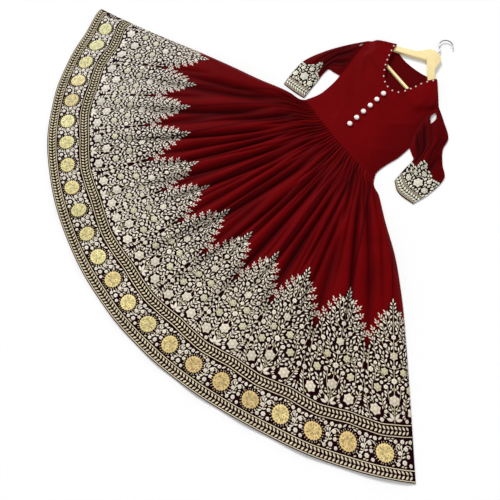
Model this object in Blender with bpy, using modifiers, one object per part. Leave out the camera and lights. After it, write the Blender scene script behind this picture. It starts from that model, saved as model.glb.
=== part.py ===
"""Anarkali gown laid out flat on its wooden hanger.

Metres, +Z up.  Plan sizes below are in the garment's own frame: its origin is the middle of
the waist seam, +X is the viewer's right and +Y runs from the waist to the neck.  Every piece is
a child of one empty, which shifts that frame so that the footprint's middle is at the origin.
"""
from collections import namedtuple
from math import atan2, cos, degrees, exp, pi, radians, sin

import bmesh
import bpy
from mathutils import Vector

# Cloth and clearances
WALL = 0.0012
GAP = 0.0003
LAYER = WALL + GAP

# How far the thickness of a raised front leans over its seam
SEAM_LEAN = 0.0008

# Middle of the footprint, in the garment's own frame
FOOTPRINT_MIDDLE = (-0.0723, -0.1927)

# Waist seam, from its left end to its right end, and how far its middle drops below the chord
WAIST_LEFT = (-0.185, 0.031)
WAIST_RIGHT = (0.210, -0.032)
WAIST_SAG = 0.008

# The skirt is a fan about this centre
FAN_CENTRE = (0.026, 0.246)
HEM_SPAN = (-155.9, -45.0)

# Share of the skirt's length in which its columns turn from the waist seam to the fan
WAIST_BLEND = 0.06

SkirtEdge = namedtuple("SkirtEdge", "radius left right")
SKIRT_EDGES = [
    SkirtEdge(0.300, -134.3, -58.6),
    SkirtEdge(0.333, -137.2, -56.5),
    SkirtEdge(0.390, -141.6, -52.8),
    SkirtEdge(0.470, -144.8, -49.9),
    SkirtEdge(0.590, -148.6, -46.5),
    SkirtEdge(0.720, -151.1, -45.2),
    SkirtEdge(0.850, -152.6, -44.9),
    SkirtEdge(1.280, -156.2, -45.0),
]

HemPoint = namedtuple("HemPoint", "angle radius")
HEM = [
    HemPoint(-156.0, 1.206),
    HemPoint(-149.0, 1.214),
    HemPoint(-141.0, 1.241),
    HemPoint(-128.0, 1.262),
    HemPoint(-110.0, 1.254),
    HemPoint(-94.0, 1.244),
    HemPoint(-70.0, 1.233),
    HemPoint(-57.0, 1.252),
    HemPoint(-45.0, 1.275),
]

# Height of the puffed skirt above the back, by distance down from the waist seam
Puff = namedtuple("Puff", "down height")
SKIRT_PUFF = [
    Puff(0.00, 0.0020),
    Puff(0.03, 0.0060),
    Puff(0.08, 0.0125),
    Puff(0.16, 0.0185),
    Puff(0.30, 0.0210),
    Puff(0.45, 0.0190),
    Puff(0.62, 0.0130),
    Puff(0.80, 0.0075),
    Puff(0.92, 0.0035),
    Puff(1.05, 0.0030),
]

# Main folds of the skirt front: each is a trough between two rounded ridges.  The radii are
# where it starts and ends, the angles are where its line lies at the start, middle and end.
Fold = namedtuple("Fold", "start end first middle last depth width")
FOLDS = [
    Fold(0.48, 0.70, -137.0, -140.6, -143.0, 0.45, 0.012),
    Fold(0.32, 1.05, -132.6, -137.6, -140.8, 0.55, 0.020),
    Fold(0.40, 1.10, -126.8, -130.2, -132.8, 0.80, 0.013),
    Fold(0.32, 0.56, -123.9, -124.4, -125.2, 0.80, 0.011),
    Fold(0.29, 0.45, -119.0, -119.4, -120.0, 0.70, 0.007),
    Fold(0.36, 1.15, -116.6, -121.9, -125.6, 0.90, 0.009),
    Fold(0.42, 0.92, -114.8, -117.4, -119.4, 0.75, 0.008),
    Fold(0.36, 1.00, -112.3, -114.4, -116.6, 0.90, 0.009),
    Fold(0.28, 0.42, -110.3, -110.8, -111.2, 0.70, 0.007),
    Fold(0.32, 1.12, -106.2, -110.2, -113.4, 0.92, 0.010),
    Fold(0.30, 0.42, -103.9, -103.6, -103.4, 0.65, 0.006),
    Fold(0.38, 1.02, -102.4, -105.4, -107.6, 0.92, 0.011),
    Fold(0.42, 0.90, -100.8, -101.0, -101.4, 0.60, 0.007),
    Fold(0.33, 1.18, -97.1, -98.0, -98.6, 0.80, 0.008),
    Fold(0.29, 1.05, -92.0, -95.4, -98.0, 0.94, 0.013),
    Fold(0.46, 1.14, -88.0, -89.8, -91.6, 0.88, 0.009),
    Fold(0.30, 0.86, -85.0, -86.3, -87.0, 0.78, 0.009),
    Fold(0.29, 1.10, -81.6, -82.7, -83.6, 0.94, 0.012),
    Fold(0.29, 0.96, -76.2, -77.2, -79.0, 0.80, 0.008),
    Fold(0.34, 0.98, -72.8, -74.3, -75.4, 0.88, 0.010),
    Fold(0.30, 0.84, -69.4, -70.2, -71.4, 0.72, 0.007),
    Fold(0.31, 0.52, -68.9, -66.6, -65.5, 0.70, 0.008),
    Fold(0.46, 0.94, -66.9, -67.2, -67.6, 0.74, 0.009),
    Fold(0.31, 0.95, -63.2, -58.8, -56.2, 0.86, 0.010),
    Fold(0.36, 0.80, -58.6, -54.6, -52.6, 0.62, 0.012),
]

# A fold fades in from before its start and out past its end, over these shares of its length
FOLD_LEAD = 0.03
FOLD_TAIL = 0.06
FOLD_RISE = 0.25
FOLD_FALL = 0.45
FOLD_SHARPNESS = 1.5

# Gathers at the waist seam, uneven in two waves across, fading between two shares of their length
GATHERS = 33
STEPS_PER_GATHER = 4
GATHER_HEIGHT = 0.0022
GATHER_LENGTH = 0.105
GATHER_UNEVEN = 0.35
GATHER_WAVES = (41.0, 23.0)
GATHER_FADE = (0.35, 1.6)

# Rows of the skirt, as distances down from the waist over the length of the skirt
SKIRT_ROWS = [0.0, 0.013, 0.032, 0.060, 0.095, 0.145, 0.205, 0.28, 0.37, 0.47, 0.585, 0.71, 0.85, 1.0]
BACK_ROWS = [0.0, 0.03, 0.06, 0.10, 0.15, 0.21, 0.28, 0.37, 0.50, 0.70, 1.0]
BACK_COLUMNS = 60
BACK_SHRINK = 0.003

# The skirt front comes down to the back at its two edges
SKIRT_EDGE_TUCK = 0.004
SKIRT_EDGE_ROLL = 0.030
SKIRT_EDGE_ROUND = 0.7

# Low waves near the hem, and the distances down in which they set in
HEM_WAVE = 0.0016
HEM_WAVES = 11.5
HEM_WAVE_DRIFT = 9.0
HEM_WAVE_START = (0.45, 0.85)

# Edges of the bodice, each from its lower or left end
BODICE_LEFT_SIDE = [(-0.185, 0.031), (-0.166, 0.084), (-0.163, 0.126), (-0.165, 0.173), (-0.170, 0.201)]
BODICE_RIGHT_SIDE = [(0.210, -0.032), (0.198, -0.005), (0.201, 0.040), (0.212, 0.095), (0.214, 0.152)]
ARMHOLE_LEFT = [(-0.170, 0.201), (-0.176, 0.245), (-0.187, 0.290), (-0.196, 0.340), (-0.203, 0.393)]
ARMHOLE_RIGHT = [(0.214, 0.152), (0.194, 0.200), (0.177, 0.256), (0.172, 0.305), (0.176, 0.358)]
ARMHOLE_SHARE = 0.50
SHOULDER_LEFT = [(-0.203, 0.393), (-0.158, 0.429), (-0.112, 0.456)]
SHOULDER_RIGHT = [(0.101, 0.441), (0.138, 0.401), (0.176, 0.358)]
NECK_FRONT = [
    (-0.112, 0.456), (-0.104, 0.430), (-0.090, 0.390), (-0.066, 0.340), (-0.040, 0.308),
    (0.002, 0.291), (0.038, 0.304), (0.054, 0.338), (0.068, 0.385), (0.101, 0.441),
]
NECK_BACK = [(-0.112, 0.456), (-0.084, 0.436), (-0.040, 0.423), (0.012, 0.421), (0.060, 0.427), (0.101, 0.441)]
SHOULDER_COLUMNS = 6
NECK_STEPS = [0.018, 0.040, 0.075, 0.125, 0.19, 0.265, 0.345, 0.42]
SHOULDER_SHARE = 0.24
SIDE_ROWS = 6

# The bodice front's own ease, in slow waves, and how it comes down at its seams
BODICE_LOOSE = 0.0006
BODICE_EASE = 0.0012
EASE_WAVES = (21.0, 9.0)
SIDE_FALL = (-0.01, 0.06)
SIDE_LEAST = 0.12
SHOULDER_FALL = 0.012
SHOULDER_LEAST = 0.10

# Where the sleeve's rows of points meet the bodice's, from the underarm to the shoulder
ARMHOLE_STEPS = [0.0, 0.11, 0.21, 0.31, 0.40, 0.49, 0.58, 0.66, 0.74, 0.81, 0.88, 0.935, 0.972, 1.0]

# Sleeves: inner and outer edges from the armhole to the opening
Sleeve = namedtuple("Sleeve", "name side inner outer opening keyhole keyhole_turn folds")
SleeveFold = namedtuple("SleeveFold", "across_top across_low start end depth width")
SLEEVES = [
    Sleeve(
        name="left",
        side=-1,
        inner=[(-0.170, 0.201), (-0.196, 0.196), (-0.221, 0.190), (-0.210, 0.110), (-0.196, 0.034)],
        outer=[(-0.203, 0.393), (-0.246, 0.322), (-0.286, 0.240), (-0.312, 0.152), (-0.306, 0.085), (-0.292, 0.024)],
        opening=[(-0.196, 0.034), (-0.242, 0.027), (-0.292, 0.024)],
        keyhole=(-0.209, 0.347),
        keyhole_turn=82.0,
        folds=[
            SleeveFold(0.72, 0.22, 0.02, 0.62, 0.85, 0.010),
            SleeveFold(0.40, 0.10, 0.00, 0.50, 0.75, 0.009),
            SleeveFold(0.92, 0.62, 0.10, 0.60, 0.55, 0.012),
        ],
    ),
    Sleeve(
        name="right",
        side=1,
        inner=[(0.214, 0.152), (0.236, 0.139), (0.254, 0.126), (0.257, 0.070), (0.262, 0.017)],
        outer=[(0.176, 0.358), (0.232, 0.320), (0.284, 0.280), (0.300, 0.230), (0.336, 0.184),
               (0.374, 0.148), (0.377, 0.070), (0.363, -0.003)],
        opening=[(0.262, 0.017), (0.300, -0.007), (0.363, -0.003)],
        keyhole=(0.1945, 0.303),
        keyhole_turn=100.0,
        folds=[
            SleeveFold(0.60, 0.24, 0.04, 0.50, 0.80, 0.009),
            SleeveFold(0.34, 0.10, 0.02, 0.42, 0.70, 0.008),
            SleeveFold(0.86, 0.66, 0.22, 0.66, 0.60, 0.010),
            SleeveFold(0.98, 0.42, 0.46, 0.74, 0.65, 0.010),
        ],
    ),
]
SLEEVE_ROWS = 18
SLEEVE_PUFF = 0.0085
CUFF_PUFF = 0.0030
CUFF_BLEND = (0.46, 0.76)
SLEEVE_HEAD = (-0.02, 0.10)
OPENING_FALL = (0.9, 1.0)
OPENING_FLATTEN = 0.5
SLEEVE_ACROSS = 0.12
SLEEVE_FOLD_RISE = (-0.15, 0.2)
SLEEVE_FOLD_FALL = (0.7, 1.15)
SLEEVE_ROLL = (-0.02, 0.22)
SLEEVE_ROUND = 0.8

# Leaf-shaped cut-out of each sleeve
KEYHOLE_LENGTH = 0.044
KEYHOLE_WIDTH = 0.019
KEYHOLE_POINTS = 7
KEYHOLE_ROUND = 0.9
CUTTER_LOW = -0.01
CUTTER_TALL = 0.06

# Hanger, turned a little in the garment
HANGER_CENTRE = (0.020, 0.497)
HANGER_TURN = -11.0
WOOD = 0.010
WOOD_BASE = LAYER + GAP
ARM_SLOPE = 38.0
ARM_LENGTH = 0.188
ARM_WIDTH = 0.027
ARM_TIP_WIDTH = 0.021
ARM_TOP_START = 0.055
ARM_LOW_START = 0.045
ARM_MIDDLE = 0.12
ARM_MIDDLE_SHARE = 0.97
TIP_STEPS = 6
YOKE_RISE = 0.036
YOKE_CORNERS = [(0.016, 0.0335), (0.031, 0.0245)]
THROAT_REACH = 0.022
THROAT_EASE = 0.0008
THROAT_DROP = 0.002
WOOD_EDGE = 0.0022
BAR_EDGE = 0.0015
ROUNDED_FROM = 50
BAR_DROP = 0.157
BAR_THICK = 0.009
BAR_WIDTH = 0.010
HOOK_WIRE = 0.0035
HOOK_RADIUS = 0.026
HOOK_STEM = 0.026
HOOK_TURN = 18.0
HOOK_START = -115.0
HOOK_SWEEP = 235.0
HOOK_STEPS = 20
HOOK_ASIDE = 0.004
HOOK_RISE = 0.95

# How the front lies over the hanger
ARM_MARGIN = 0.013
BAR_MARGIN = 0.014
ARM_EDGE_MARGIN = 0.004
ARM_FALL_OUT = 0.007
TIP_MARGIN = 0.012
TIP_FALL = 0.026
ARM_FALL_IN = 0.060
BAR_FALL = 0.032
BAR_END_FALL = (0.03, 0.004)
LIFT_POWER = 4

# Buttons
BUTTON_TOP = 0.252
BUTTON_STEP = 0.0364
BUTTON_COUNT = 6
BUTTON_RADIUS = 0.0092
BUTTON_HEIGHT = 0.0085
BUTTON_SEAT = 0.55
BUTTON_SIDES = 14
BUTTON_RINGS = 8

# Points nearer than this are one point
SAME_PLACE = 0.00001

Look = namedtuple("Look", "colour roughness metallic")
MAROON = Look((0.150, 0.003, 0.007, 1.0), 0.62, 0.0)
PEARL = Look((0.930, 0.880, 0.860, 1.0), 0.25, 0.0)
PALE_WOOD = Look((0.880, 0.740, 0.460, 1.0), 0.45, 0.0)
WIRE = Look((0.780, 0.780, 0.790, 1.0), 0.25, 1.0)


def clear_scene():
    for item in list(bpy.data.objects):
        bpy.data.objects.remove(item, do_unlink=True)


def make_material(name, look):
    material = bpy.data.materials.new(name)
    material.use_nodes = True
    shader = material.node_tree.nodes["Principled BSDF"]
    shader.inputs["Base Color"].default_value = look.colour
    shader.inputs["Roughness"].default_value = look.roughness
    shader.inputs["Metallic"].default_value = look.metallic
    return material


def smooth_step(low, high, value):
    share = min(1.0, max(0.0, (value - low) / (high - low)))
    return share * share * (3.0 - 2.0 * share)


def mix(first, second, share):
    return first + (second - first) * share


def follow(stations, values, at):
    """Smooth curve through values at rising stations, held level past both ends."""
    if at <= stations[0]:
        return values[0]
    if at >= stations[-1]:
        return values[-1]
    index = max(i for i, station in enumerate(stations[:-1]) if station <= at)
    span = stations[index + 1] - stations[index]
    share = (at - stations[index]) / span

    def slope(i):
        before = max(i - 1, 0)
        after = min(i + 1, len(stations) - 1)
        return (values[after] - values[before]) / (stations[after] - stations[before])

    square = share * share
    cube = square * share
    return (
        values[index] * (2 * cube - 3 * square + 1)
        + slope(index) * span * (cube - 2 * square + share)
        + values[index + 1] * (3 * square - 2 * cube)
        + slope(index + 1) * span * (cube - square)
    )


def curve(points):
    """A function of 0 to 1 that runs along a smooth curve through plan points."""
    vectors = [Vector(point) for point in points]
    stations = [0.0]
    for before, after in zip(vectors, vectors[1:]):
        stations.append(stations[-1] + (after - before).length)
    return lambda share: follow(stations, vectors, share * stations[-1])


def chain(first, second, first_share):
    """Two curves run one after the other as one function of 0 to 1."""
    def run(share):
        if share < first_share:
            return first(share / first_share)
        return second((share - first_share) / (1.0 - first_share))
    return run


def patch(low, high, left, right, across, up):
    """Point inside four boundary curves that meet at their corners."""
    sides = left(up) * (1 - across) + right(up) * across
    ends = low(across) * (1 - up) + high(across) * up
    corners = (
        (low(0.0) * (1 - across) + low(1.0) * across) * (1 - up)
        + (high(0.0) * (1 - across) + high(1.0) * across) * up
    )
    return sides + ends - corners


def on_ray(angle, radius):
    turn = radians(angle)
    return Vector(FAN_CENTRE) + Vector((cos(turn), sin(turn))) * radius


def waist_radius(angle):
    """Distance from the fan's centre to the waist seam at an angle."""
    start = Vector(WAIST_LEFT) - Vector(FAN_CENTRE)
    chord = Vector(WAIST_RIGHT) - Vector(WAIST_LEFT)
    turn = radians(angle)
    ray = Vector((cos(turn), sin(turn)))
    radius = start.cross(chord) / ray.cross(chord)
    share = (ray * radius - start).dot(chord) / chord.length_squared
    return radius + WAIST_SAG * 4 * share * (1 - share)


def waist_angle(across):
    """Angle about the fan's centre of a place on the waist seam, 0 to 1 across."""
    ends = [Vector(point) - Vector(FAN_CENTRE) for point in (WAIST_LEFT, WAIST_RIGHT)]
    return mix(degrees(atan2(ends[0].y, ends[0].x)), degrees(atan2(ends[1].y, ends[1].x)), across)


def waist_point(across, shift=0.0):
    angle = waist_angle(across)
    return on_ray(angle, waist_radius(angle) + shift)


def hem_radius(angle):
    return follow([row.angle for row in HEM], [row.radius for row in HEM], angle)


def skirt_place(across, down, shrink=0.0):
    """Angle and radius on the skirt, 0 to 1 across and 0 to 1 from waist to hem."""
    start = waist_angle(across)
    top = waist_radius(start)
    bottom = hem_radius(mix(HEM_SPAN[0], HEM_SPAN[1], across)) - shrink
    radius = mix(top, bottom, down)
    stations = [row.radius for row in SKIRT_EDGES]
    left_radius = mix(waist_radius(waist_angle(0.0)), hem_radius(HEM_SPAN[0]), down)
    right_radius = mix(waist_radius(waist_angle(1.0)), hem_radius(HEM_SPAN[1]), down)
    left = follow(stations, [row.left for row in SKIRT_EDGES], left_radius)
    right = follow(stations, [row.right for row in SKIRT_EDGES], right_radius)
    inset = degrees(shrink / radius)
    angle = mix(left + inset, right - inset, across)
    return mix(start, angle, smooth_step(0.0, WAIST_BLEND, down)), radius


def trough(fold, angle, radius):
    """How much of the puff one fold takes away at a place, 0 to 1."""
    if not fold.start - FOLD_LEAD < radius < fold.end + FOLD_TAIL:
        return 0.0
    middle = (fold.start + fold.end) / 2
    line = follow([fold.start, middle, fold.end], [fold.first, fold.middle, fold.last], radius)
    aside = abs(radians(angle - line)) * radius / fold.width
    length = fold.end - fold.start
    fade = smooth_step(fold.start - FOLD_LEAD, fold.start + FOLD_RISE * length, radius)
    fade *= 1.0 - smooth_step(fold.end - FOLD_FALL * length, fold.end + FOLD_TAIL, radius)
    return fold.depth * fade * exp(-aside ** FOLD_SHARPNESS)


def skirt_height(across, angle, radius, top):
    """Height of the skirt front's underside above the surface it lies on."""
    down = radius - top
    puff = follow([row.down for row in SKIRT_PUFF], [row.height for row in SKIRT_PUFF], down)
    for fold in FOLDS:
        puff *= 1.0 - trough(fold, angle, radius)
    phase = across * GATHERS * 2 * pi
    uneven = 1.0 + GATHER_UNEVEN * sin(across * GATHER_WAVES[0]) * sin(across * GATHER_WAVES[1] + 1.0)
    length = GATHER_LENGTH * uneven
    fade = 1.0 - smooth_step(GATHER_FADE[0] * length, GATHER_FADE[1] * length, down)
    gather = GATHER_HEIGHT * uneven * fade * (0.5 - 0.5 * cos(phase))
    wave_fade = smooth_step(HEM_WAVE_START[0], HEM_WAVE_START[1], down)
    drift = 2.0 * sin(across * HEM_WAVE_DRIFT)
    wave = HEM_WAVE * wave_fade * (1.0 + sin(across * HEM_WAVES * 2 * pi + drift))
    edge = min(across, 1.0 - across) * radians(HEM_SPAN[1] - HEM_SPAN[0]) * radius
    roll = smooth_step(-SKIRT_EDGE_TUCK, SKIRT_EDGE_ROLL, edge) ** SKIRT_EDGE_ROUND
    return LAYER + (puff + gather + wave) * roll


def hanger_place(x, y):
    """Plan point of the hanger's own frame, whose origin is the middle of the yoke."""
    turn = radians(HANGER_TURN)
    return Vector(HANGER_CENTRE) + Vector((x * cos(turn) - y * sin(turn), x * sin(turn) + y * cos(turn)))


def arm_lift(point, side):
    """0 to 1, how much an arm of the hanger lifts the cloth above a plan point."""
    slope = radians(ARM_SLOPE)
    origin = hanger_place(0.0, 0.0)
    tip = hanger_place(side * ARM_LENGTH * cos(slope), -ARM_LENGTH * sin(slope))
    along = (tip - origin).normalized()
    outward = Vector((-along.y, along.x)) * side
    offset = Vector(point) - origin
    run = offset.dot(along)
    rise = offset.dot(outward)
    half = mix(ARM_WIDTH, ARM_TIP_WIDTH, min(1.0, max(0.0, run / ARM_LENGTH))) / 2
    tip_clear = ARM_LENGTH + ARM_TIP_WIDTH / 2 + TIP_MARGIN
    past_tip = smooth_step(tip_clear, tip_clear + TIP_FALL, run)
    if rise > 0:
        fall = smooth_step(half + ARM_EDGE_MARGIN, half + ARM_EDGE_MARGIN + ARM_FALL_OUT, rise)
    else:
        fall = smooth_step(half + ARM_MARGIN, half + ARM_MARGIN + ARM_FALL_IN, -rise)
    return (1.0 - fall) * (1.0 - past_tip)


def bar_lift(point):
    """0 to 1, how much the hanger's bar lifts the cloth above a plan point."""
    left = hanger_place(-bar_reach(), -BAR_DROP)
    right = hanger_place(bar_reach(), -BAR_DROP)
    along = (right - left).normalized()
    offset = Vector(point) - left
    aside = abs(offset.cross(along))
    fall = smooth_step(BAR_WIDTH / 2 + BAR_MARGIN, BAR_WIDTH / 2 + BAR_MARGIN + BAR_FALL, aside)
    run = offset.dot(along)
    out, inside = BAR_END_FALL
    length = (right - left).length
    ends = smooth_step(-out, -inside, run) * (1.0 - smooth_step(-inside, out, run - length))
    return (1.0 - fall) * ends


def bar_reach():
    """Half the bar's length: it ends just inside the arms' tips."""
    slope = radians(ARM_SLOPE)
    return ARM_LENGTH * cos(slope) - 0.5 * ARM_TIP_WIDTH - GAP


def bodice_height(point):
    """Height of the bodice front's underside above the surface it lies on."""
    over_arm = WOOD_BASE + WOOD + GAP - LAYER
    over_bar = WOOD_BASE + BAR_THICK + GAP - LAYER
    arm = max(arm_lift(point, -1), arm_lift(point, 1))
    bar = bar_lift(point)
    lift = ((over_arm * arm) ** LIFT_POWER + (over_bar * bar) ** LIFT_POWER) ** (1 / LIFT_POWER)
    ease = BODICE_EASE * (1.0 + sin(point[0] * EASE_WAVES[0] + point[1] * EASE_WAVES[1]))
    return LAYER + BODICE_LOOSE + lift + ease


def make_panel(name, columns, rows, place, thickness=WALL):
    """A cloth wall: a grid of points moved to their places, thickened upwards."""
    mesh = bpy.data.meshes.new(name)
    shape = bmesh.new()
    bmesh.ops.create_grid(shape, x_segments=len(columns) - 1, y_segments=len(rows) - 1, size=0.5)
    for vertex in shape.verts:
        column = round((vertex.co.x + 0.5) * (len(columns) - 1))
        row = round((vertex.co.y + 0.5) * (len(rows) - 1))
        vertex.co = place(columns[column], rows[row])
    bmesh.ops.recalc_face_normals(shape, faces=shape.faces)
    if sum(face.normal.z for face in shape.faces) < 0:
        bmesh.ops.reverse_faces(shape, faces=shape.faces)
    shape.to_mesh(mesh)
    shape.free()
    panel = bpy.data.objects.new(name, mesh)
    wall = panel.modifiers.new("wall", "SOLIDIFY")
    wall.thickness = thickness
    wall.offset = 1.0
    for polygon in mesh.polygons:
        polygon.use_smooth = True
    return panel


def even(count):
    return [step / count for step in range(count + 1)]


def make_skirt_front():
    def place(across, down):
        angle, radius = skirt_place(across, down)
        top = waist_radius(waist_angle(across))
        spot = on_ray(angle, radius)
        return Vector((spot.x, spot.y, skirt_height(across, angle, radius, top)))
    return make_panel("skirt_front", even(GATHERS * STEPS_PER_GATHER), SKIRT_ROWS, place)


def around(columns, rows, place):
    """Plan points once round the edge of a panel, from its low left corner."""
    ring = [place(column, rows[0]) for column in columns]
    ring += [place(columns[-1], row) for row in rows[1:]]
    ring += [place(column, rows[-1]) for column in reversed(columns[:-1])]
    ring += [place(columns[0], row) for row in reversed(rows[1:-1])]
    return ring


def make_flat_cloth(name, outline, holes=()):
    """A cloth wall that lies flat on the floor: filled plan outlines, one wall thick."""
    data = bpy.data.curves.new(name, "CURVE")
    data.dimensions = "2D"
    data.fill_mode = "BOTH"
    data.extrude = WALL / 2
    for ring in [outline, *holes]:
        line = data.splines.new("POLY")
        line.points.add(len(ring) - 1)
        for point, spot in zip(line.points, ring):
            point.co = (spot[0], spot[1], 0.0, 1.0)
        line.use_cyclic_u = True
    cloth = bpy.data.objects.new(name, data)
    cloth.location = (0.0, 0.0, WALL / 2)
    weld = cloth.modifiers.new("weld", "WELD")
    weld.merge_threshold = SAME_PLACE
    return cloth


def make_skirt_back():
    def place(across, down):
        angle, radius = skirt_place(across, down, shrink=BACK_SHRINK)
        return on_ray(angle, radius)
    return make_flat_cloth("skirt_back", around(even(BACK_COLUMNS), BACK_ROWS, place))


def bodice_outline(neck, seam):
    """The top, left and right edges of a bodice panel above its waist seam."""
    rest = chain(curve(neck), curve(SHOULDER_RIGHT), (1.0 - 2 * SHOULDER_SHARE) / (1.0 - SHOULDER_SHARE))
    top = chain(curve(SHOULDER_LEFT), rest, SHOULDER_SHARE)
    left_side = curve([seam(0.0)] + BODICE_LEFT_SIDE[1:])
    right_side = curve([seam(1.0)] + BODICE_RIGHT_SIDE[1:])
    left = chain(left_side, curve(ARMHOLE_LEFT), 1.0 - ARMHOLE_SHARE)
    right = chain(right_side, curve(ARMHOLE_RIGHT), 1.0 - ARMHOLE_SHARE)
    return top, left, right


def bodice_rows():
    """Rows of the bodice: along the side seam, then where the sleeve's columns meet it."""
    side = [(1.0 - ARMHOLE_SHARE) * step for step in even(SIDE_ROWS)]
    return side + [mix(1.0 - ARMHOLE_SHARE, 1.0, step) for step in ARMHOLE_STEPS[1:]]


def bodice_columns():
    """Columns of the bodice: even on the shoulders, closer together beside the neck's corners."""
    left = [SHOULDER_SHARE * step for step in even(SHOULDER_COLUMNS)]
    neck = NECK_STEPS + [0.5] + [1.0 - step for step in reversed(NECK_STEPS)]
    middle = [mix(SHOULDER_SHARE, 1.0 - SHOULDER_SHARE, step) for step in neck]
    return left + middle + [1.0 - step for step in reversed(left)]


def bodice_spot(neck, lean=0.0):
    """Plan place on a bodice panel, 0 to 1 across and 0 to 1 from waist to shoulder."""
    def seam(across):
        return waist_point(across, -GAP - lean)
    top, left, right = bodice_outline(neck, seam)
    return lambda across, up: patch(seam, top, left, right, across, up)


def make_bodice_front():
    spot_at = bodice_spot(NECK_FRONT, SEAM_LEAN)

    def place(across, up):
        spot = spot_at(across, up)
        return Vector((spot.x, spot.y, front_height(spot, across, up)))
    return make_panel("bodice_front", bodice_columns(), bodice_rows(), place)


def make_bodice_back():
    return make_flat_cloth("bodice_back", around(bodice_columns(), bodice_rows(), bodice_spot(NECK_BACK)))


def front_height(spot, across, up):
    """The front comes down onto the back at its side seams and shoulder seams."""
    raised = bodice_height(spot) - LAYER
    inward = min(across, 1.0 - across)
    side = smooth_step(SIDE_FALL[0], SIDE_FALL[1], inward)
    seam = 1.0
    if inward < SHOULDER_SHARE + SAME_PLACE:
        seam = smooth_step(0.0, SHOULDER_FALL, 1.0 - up)
    return LAYER + raised * max(side, SIDE_LEAST) * max(seam, SHOULDER_LEAST)


def sleeve_curves(sleeve, lean=0.0):
    armhole = ARMHOLE_LEFT if sleeve.side < 0 else ARMHOLE_RIGHT
    away = Vector((sleeve.side * (GAP + lean), 0.0))
    top = [Vector(point) + away for point in armhole]
    inner = [top[0]] + [Vector(point) for point in sleeve.inner[1:]]
    outer = [top[-1]] + [Vector(point) for point in sleeve.outer[1:]]
    return curve(top), curve(sleeve.opening), curve(inner), curve(outer)


def sleeve_height(sleeve, across, down):
    puff = mix(SLEEVE_PUFF, CUFF_PUFF, smooth_step(CUFF_BLEND[0], CUFF_BLEND[1], down))
    puff *= smooth_step(SLEEVE_HEAD[0], SLEEVE_HEAD[1], down)
    puff *= 1.0 - OPENING_FLATTEN * smooth_step(OPENING_FALL[0], OPENING_FALL[1], down)
    for fold in sleeve.folds:
        share = (down - fold.start) / (fold.end - fold.start)
        line = mix(fold.across_top, fold.across_low, min(1.0, max(0.0, share)))
        aside = abs(across - line) * SLEEVE_ACROSS / fold.width
        fade = smooth_step(SLEEVE_FOLD_RISE[0], SLEEVE_FOLD_RISE[1], share)
        fade *= 1.0 - smooth_step(SLEEVE_FOLD_FALL[0], SLEEVE_FOLD_FALL[1], share)
        puff *= 1.0 - fold.depth * fade * exp(-aside ** FOLD_SHARPNESS)
    roll = smooth_step(SLEEVE_ROLL[0], SLEEVE_ROLL[1], min(across, 1.0 - across)) ** SLEEVE_ROUND
    return LAYER + puff * roll


def make_sleeve_front(sleeve):
    top, opening, inner, outer = sleeve_curves(sleeve, SEAM_LEAN)

    def place(across, down):
        spot = patch(top, opening, inner, outer, across, down)
        return Vector((spot.x, spot.y, sleeve_height(sleeve, across, down)))
    return make_panel(f"sleeve_{sleeve.name}_front", ARMHOLE_STEPS, even(SLEEVE_ROWS), place)


def make_sleeve_back(sleeve):
    top, opening, inner, outer = sleeve_curves(sleeve)

    def place(across, down):
        return patch(top, opening, inner, outer, across, down)
    outline = around(ARMHOLE_STEPS, even(SLEEVE_ROWS), place)
    return make_flat_cloth(f"sleeve_{sleeve.name}_back", outline, [keyhole_outline(sleeve)])


def keyhole_outline(sleeve):
    """Plan points of the leaf-shaped cut-out: two arcs that meet in a point at each end."""
    turn = radians(sleeve.keyhole_turn)
    along = Vector((cos(turn), sin(turn)))
    aside = Vector((-along.y, along.x))
    outline = []
    for side in (1, -1):
        for step in range(KEYHOLE_POINTS):
            share = step / KEYHOLE_POINTS
            reach = (share - 0.5) * KEYHOLE_LENGTH * side
            bulge = side * KEYHOLE_WIDTH / 2 * sin(pi * share) ** KEYHOLE_ROUND
            outline.append(Vector(sleeve.keyhole) + along * reach + aside * bulge)
    return outline


def make_keyhole_cutter(sleeve):
    """A prism of the cut-out, taller than the sleeve."""
    mesh = bpy.data.meshes.new(f"keyhole_{sleeve.name}")
    shape = bmesh.new()
    ring = [shape.verts.new((spot.x, spot.y, CUTTER_LOW)) for spot in keyhole_outline(sleeve)]
    base = shape.faces.new(ring)
    wall = bmesh.ops.extrude_face_region(shape, geom=[base])
    raised = [item for item in wall["geom"] if isinstance(item, bmesh.types.BMVert)]
    bmesh.ops.translate(shape, verts=raised, vec=(0.0, 0.0, CUTTER_TALL))
    bmesh.ops.recalc_face_normals(shape, faces=shape.faces)
    shape.to_mesh(mesh)
    shape.free()
    cutter = bpy.data.objects.new(mesh.name, mesh)
    cutter.hide_render = True
    cutter.display_type = "WIRE"
    return cutter


def cut(target, cutter):
    modifier = target.modifiers.new("keyhole", "BOOLEAN")
    modifier.operation = "DIFFERENCE"
    modifier.object = cutter


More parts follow.
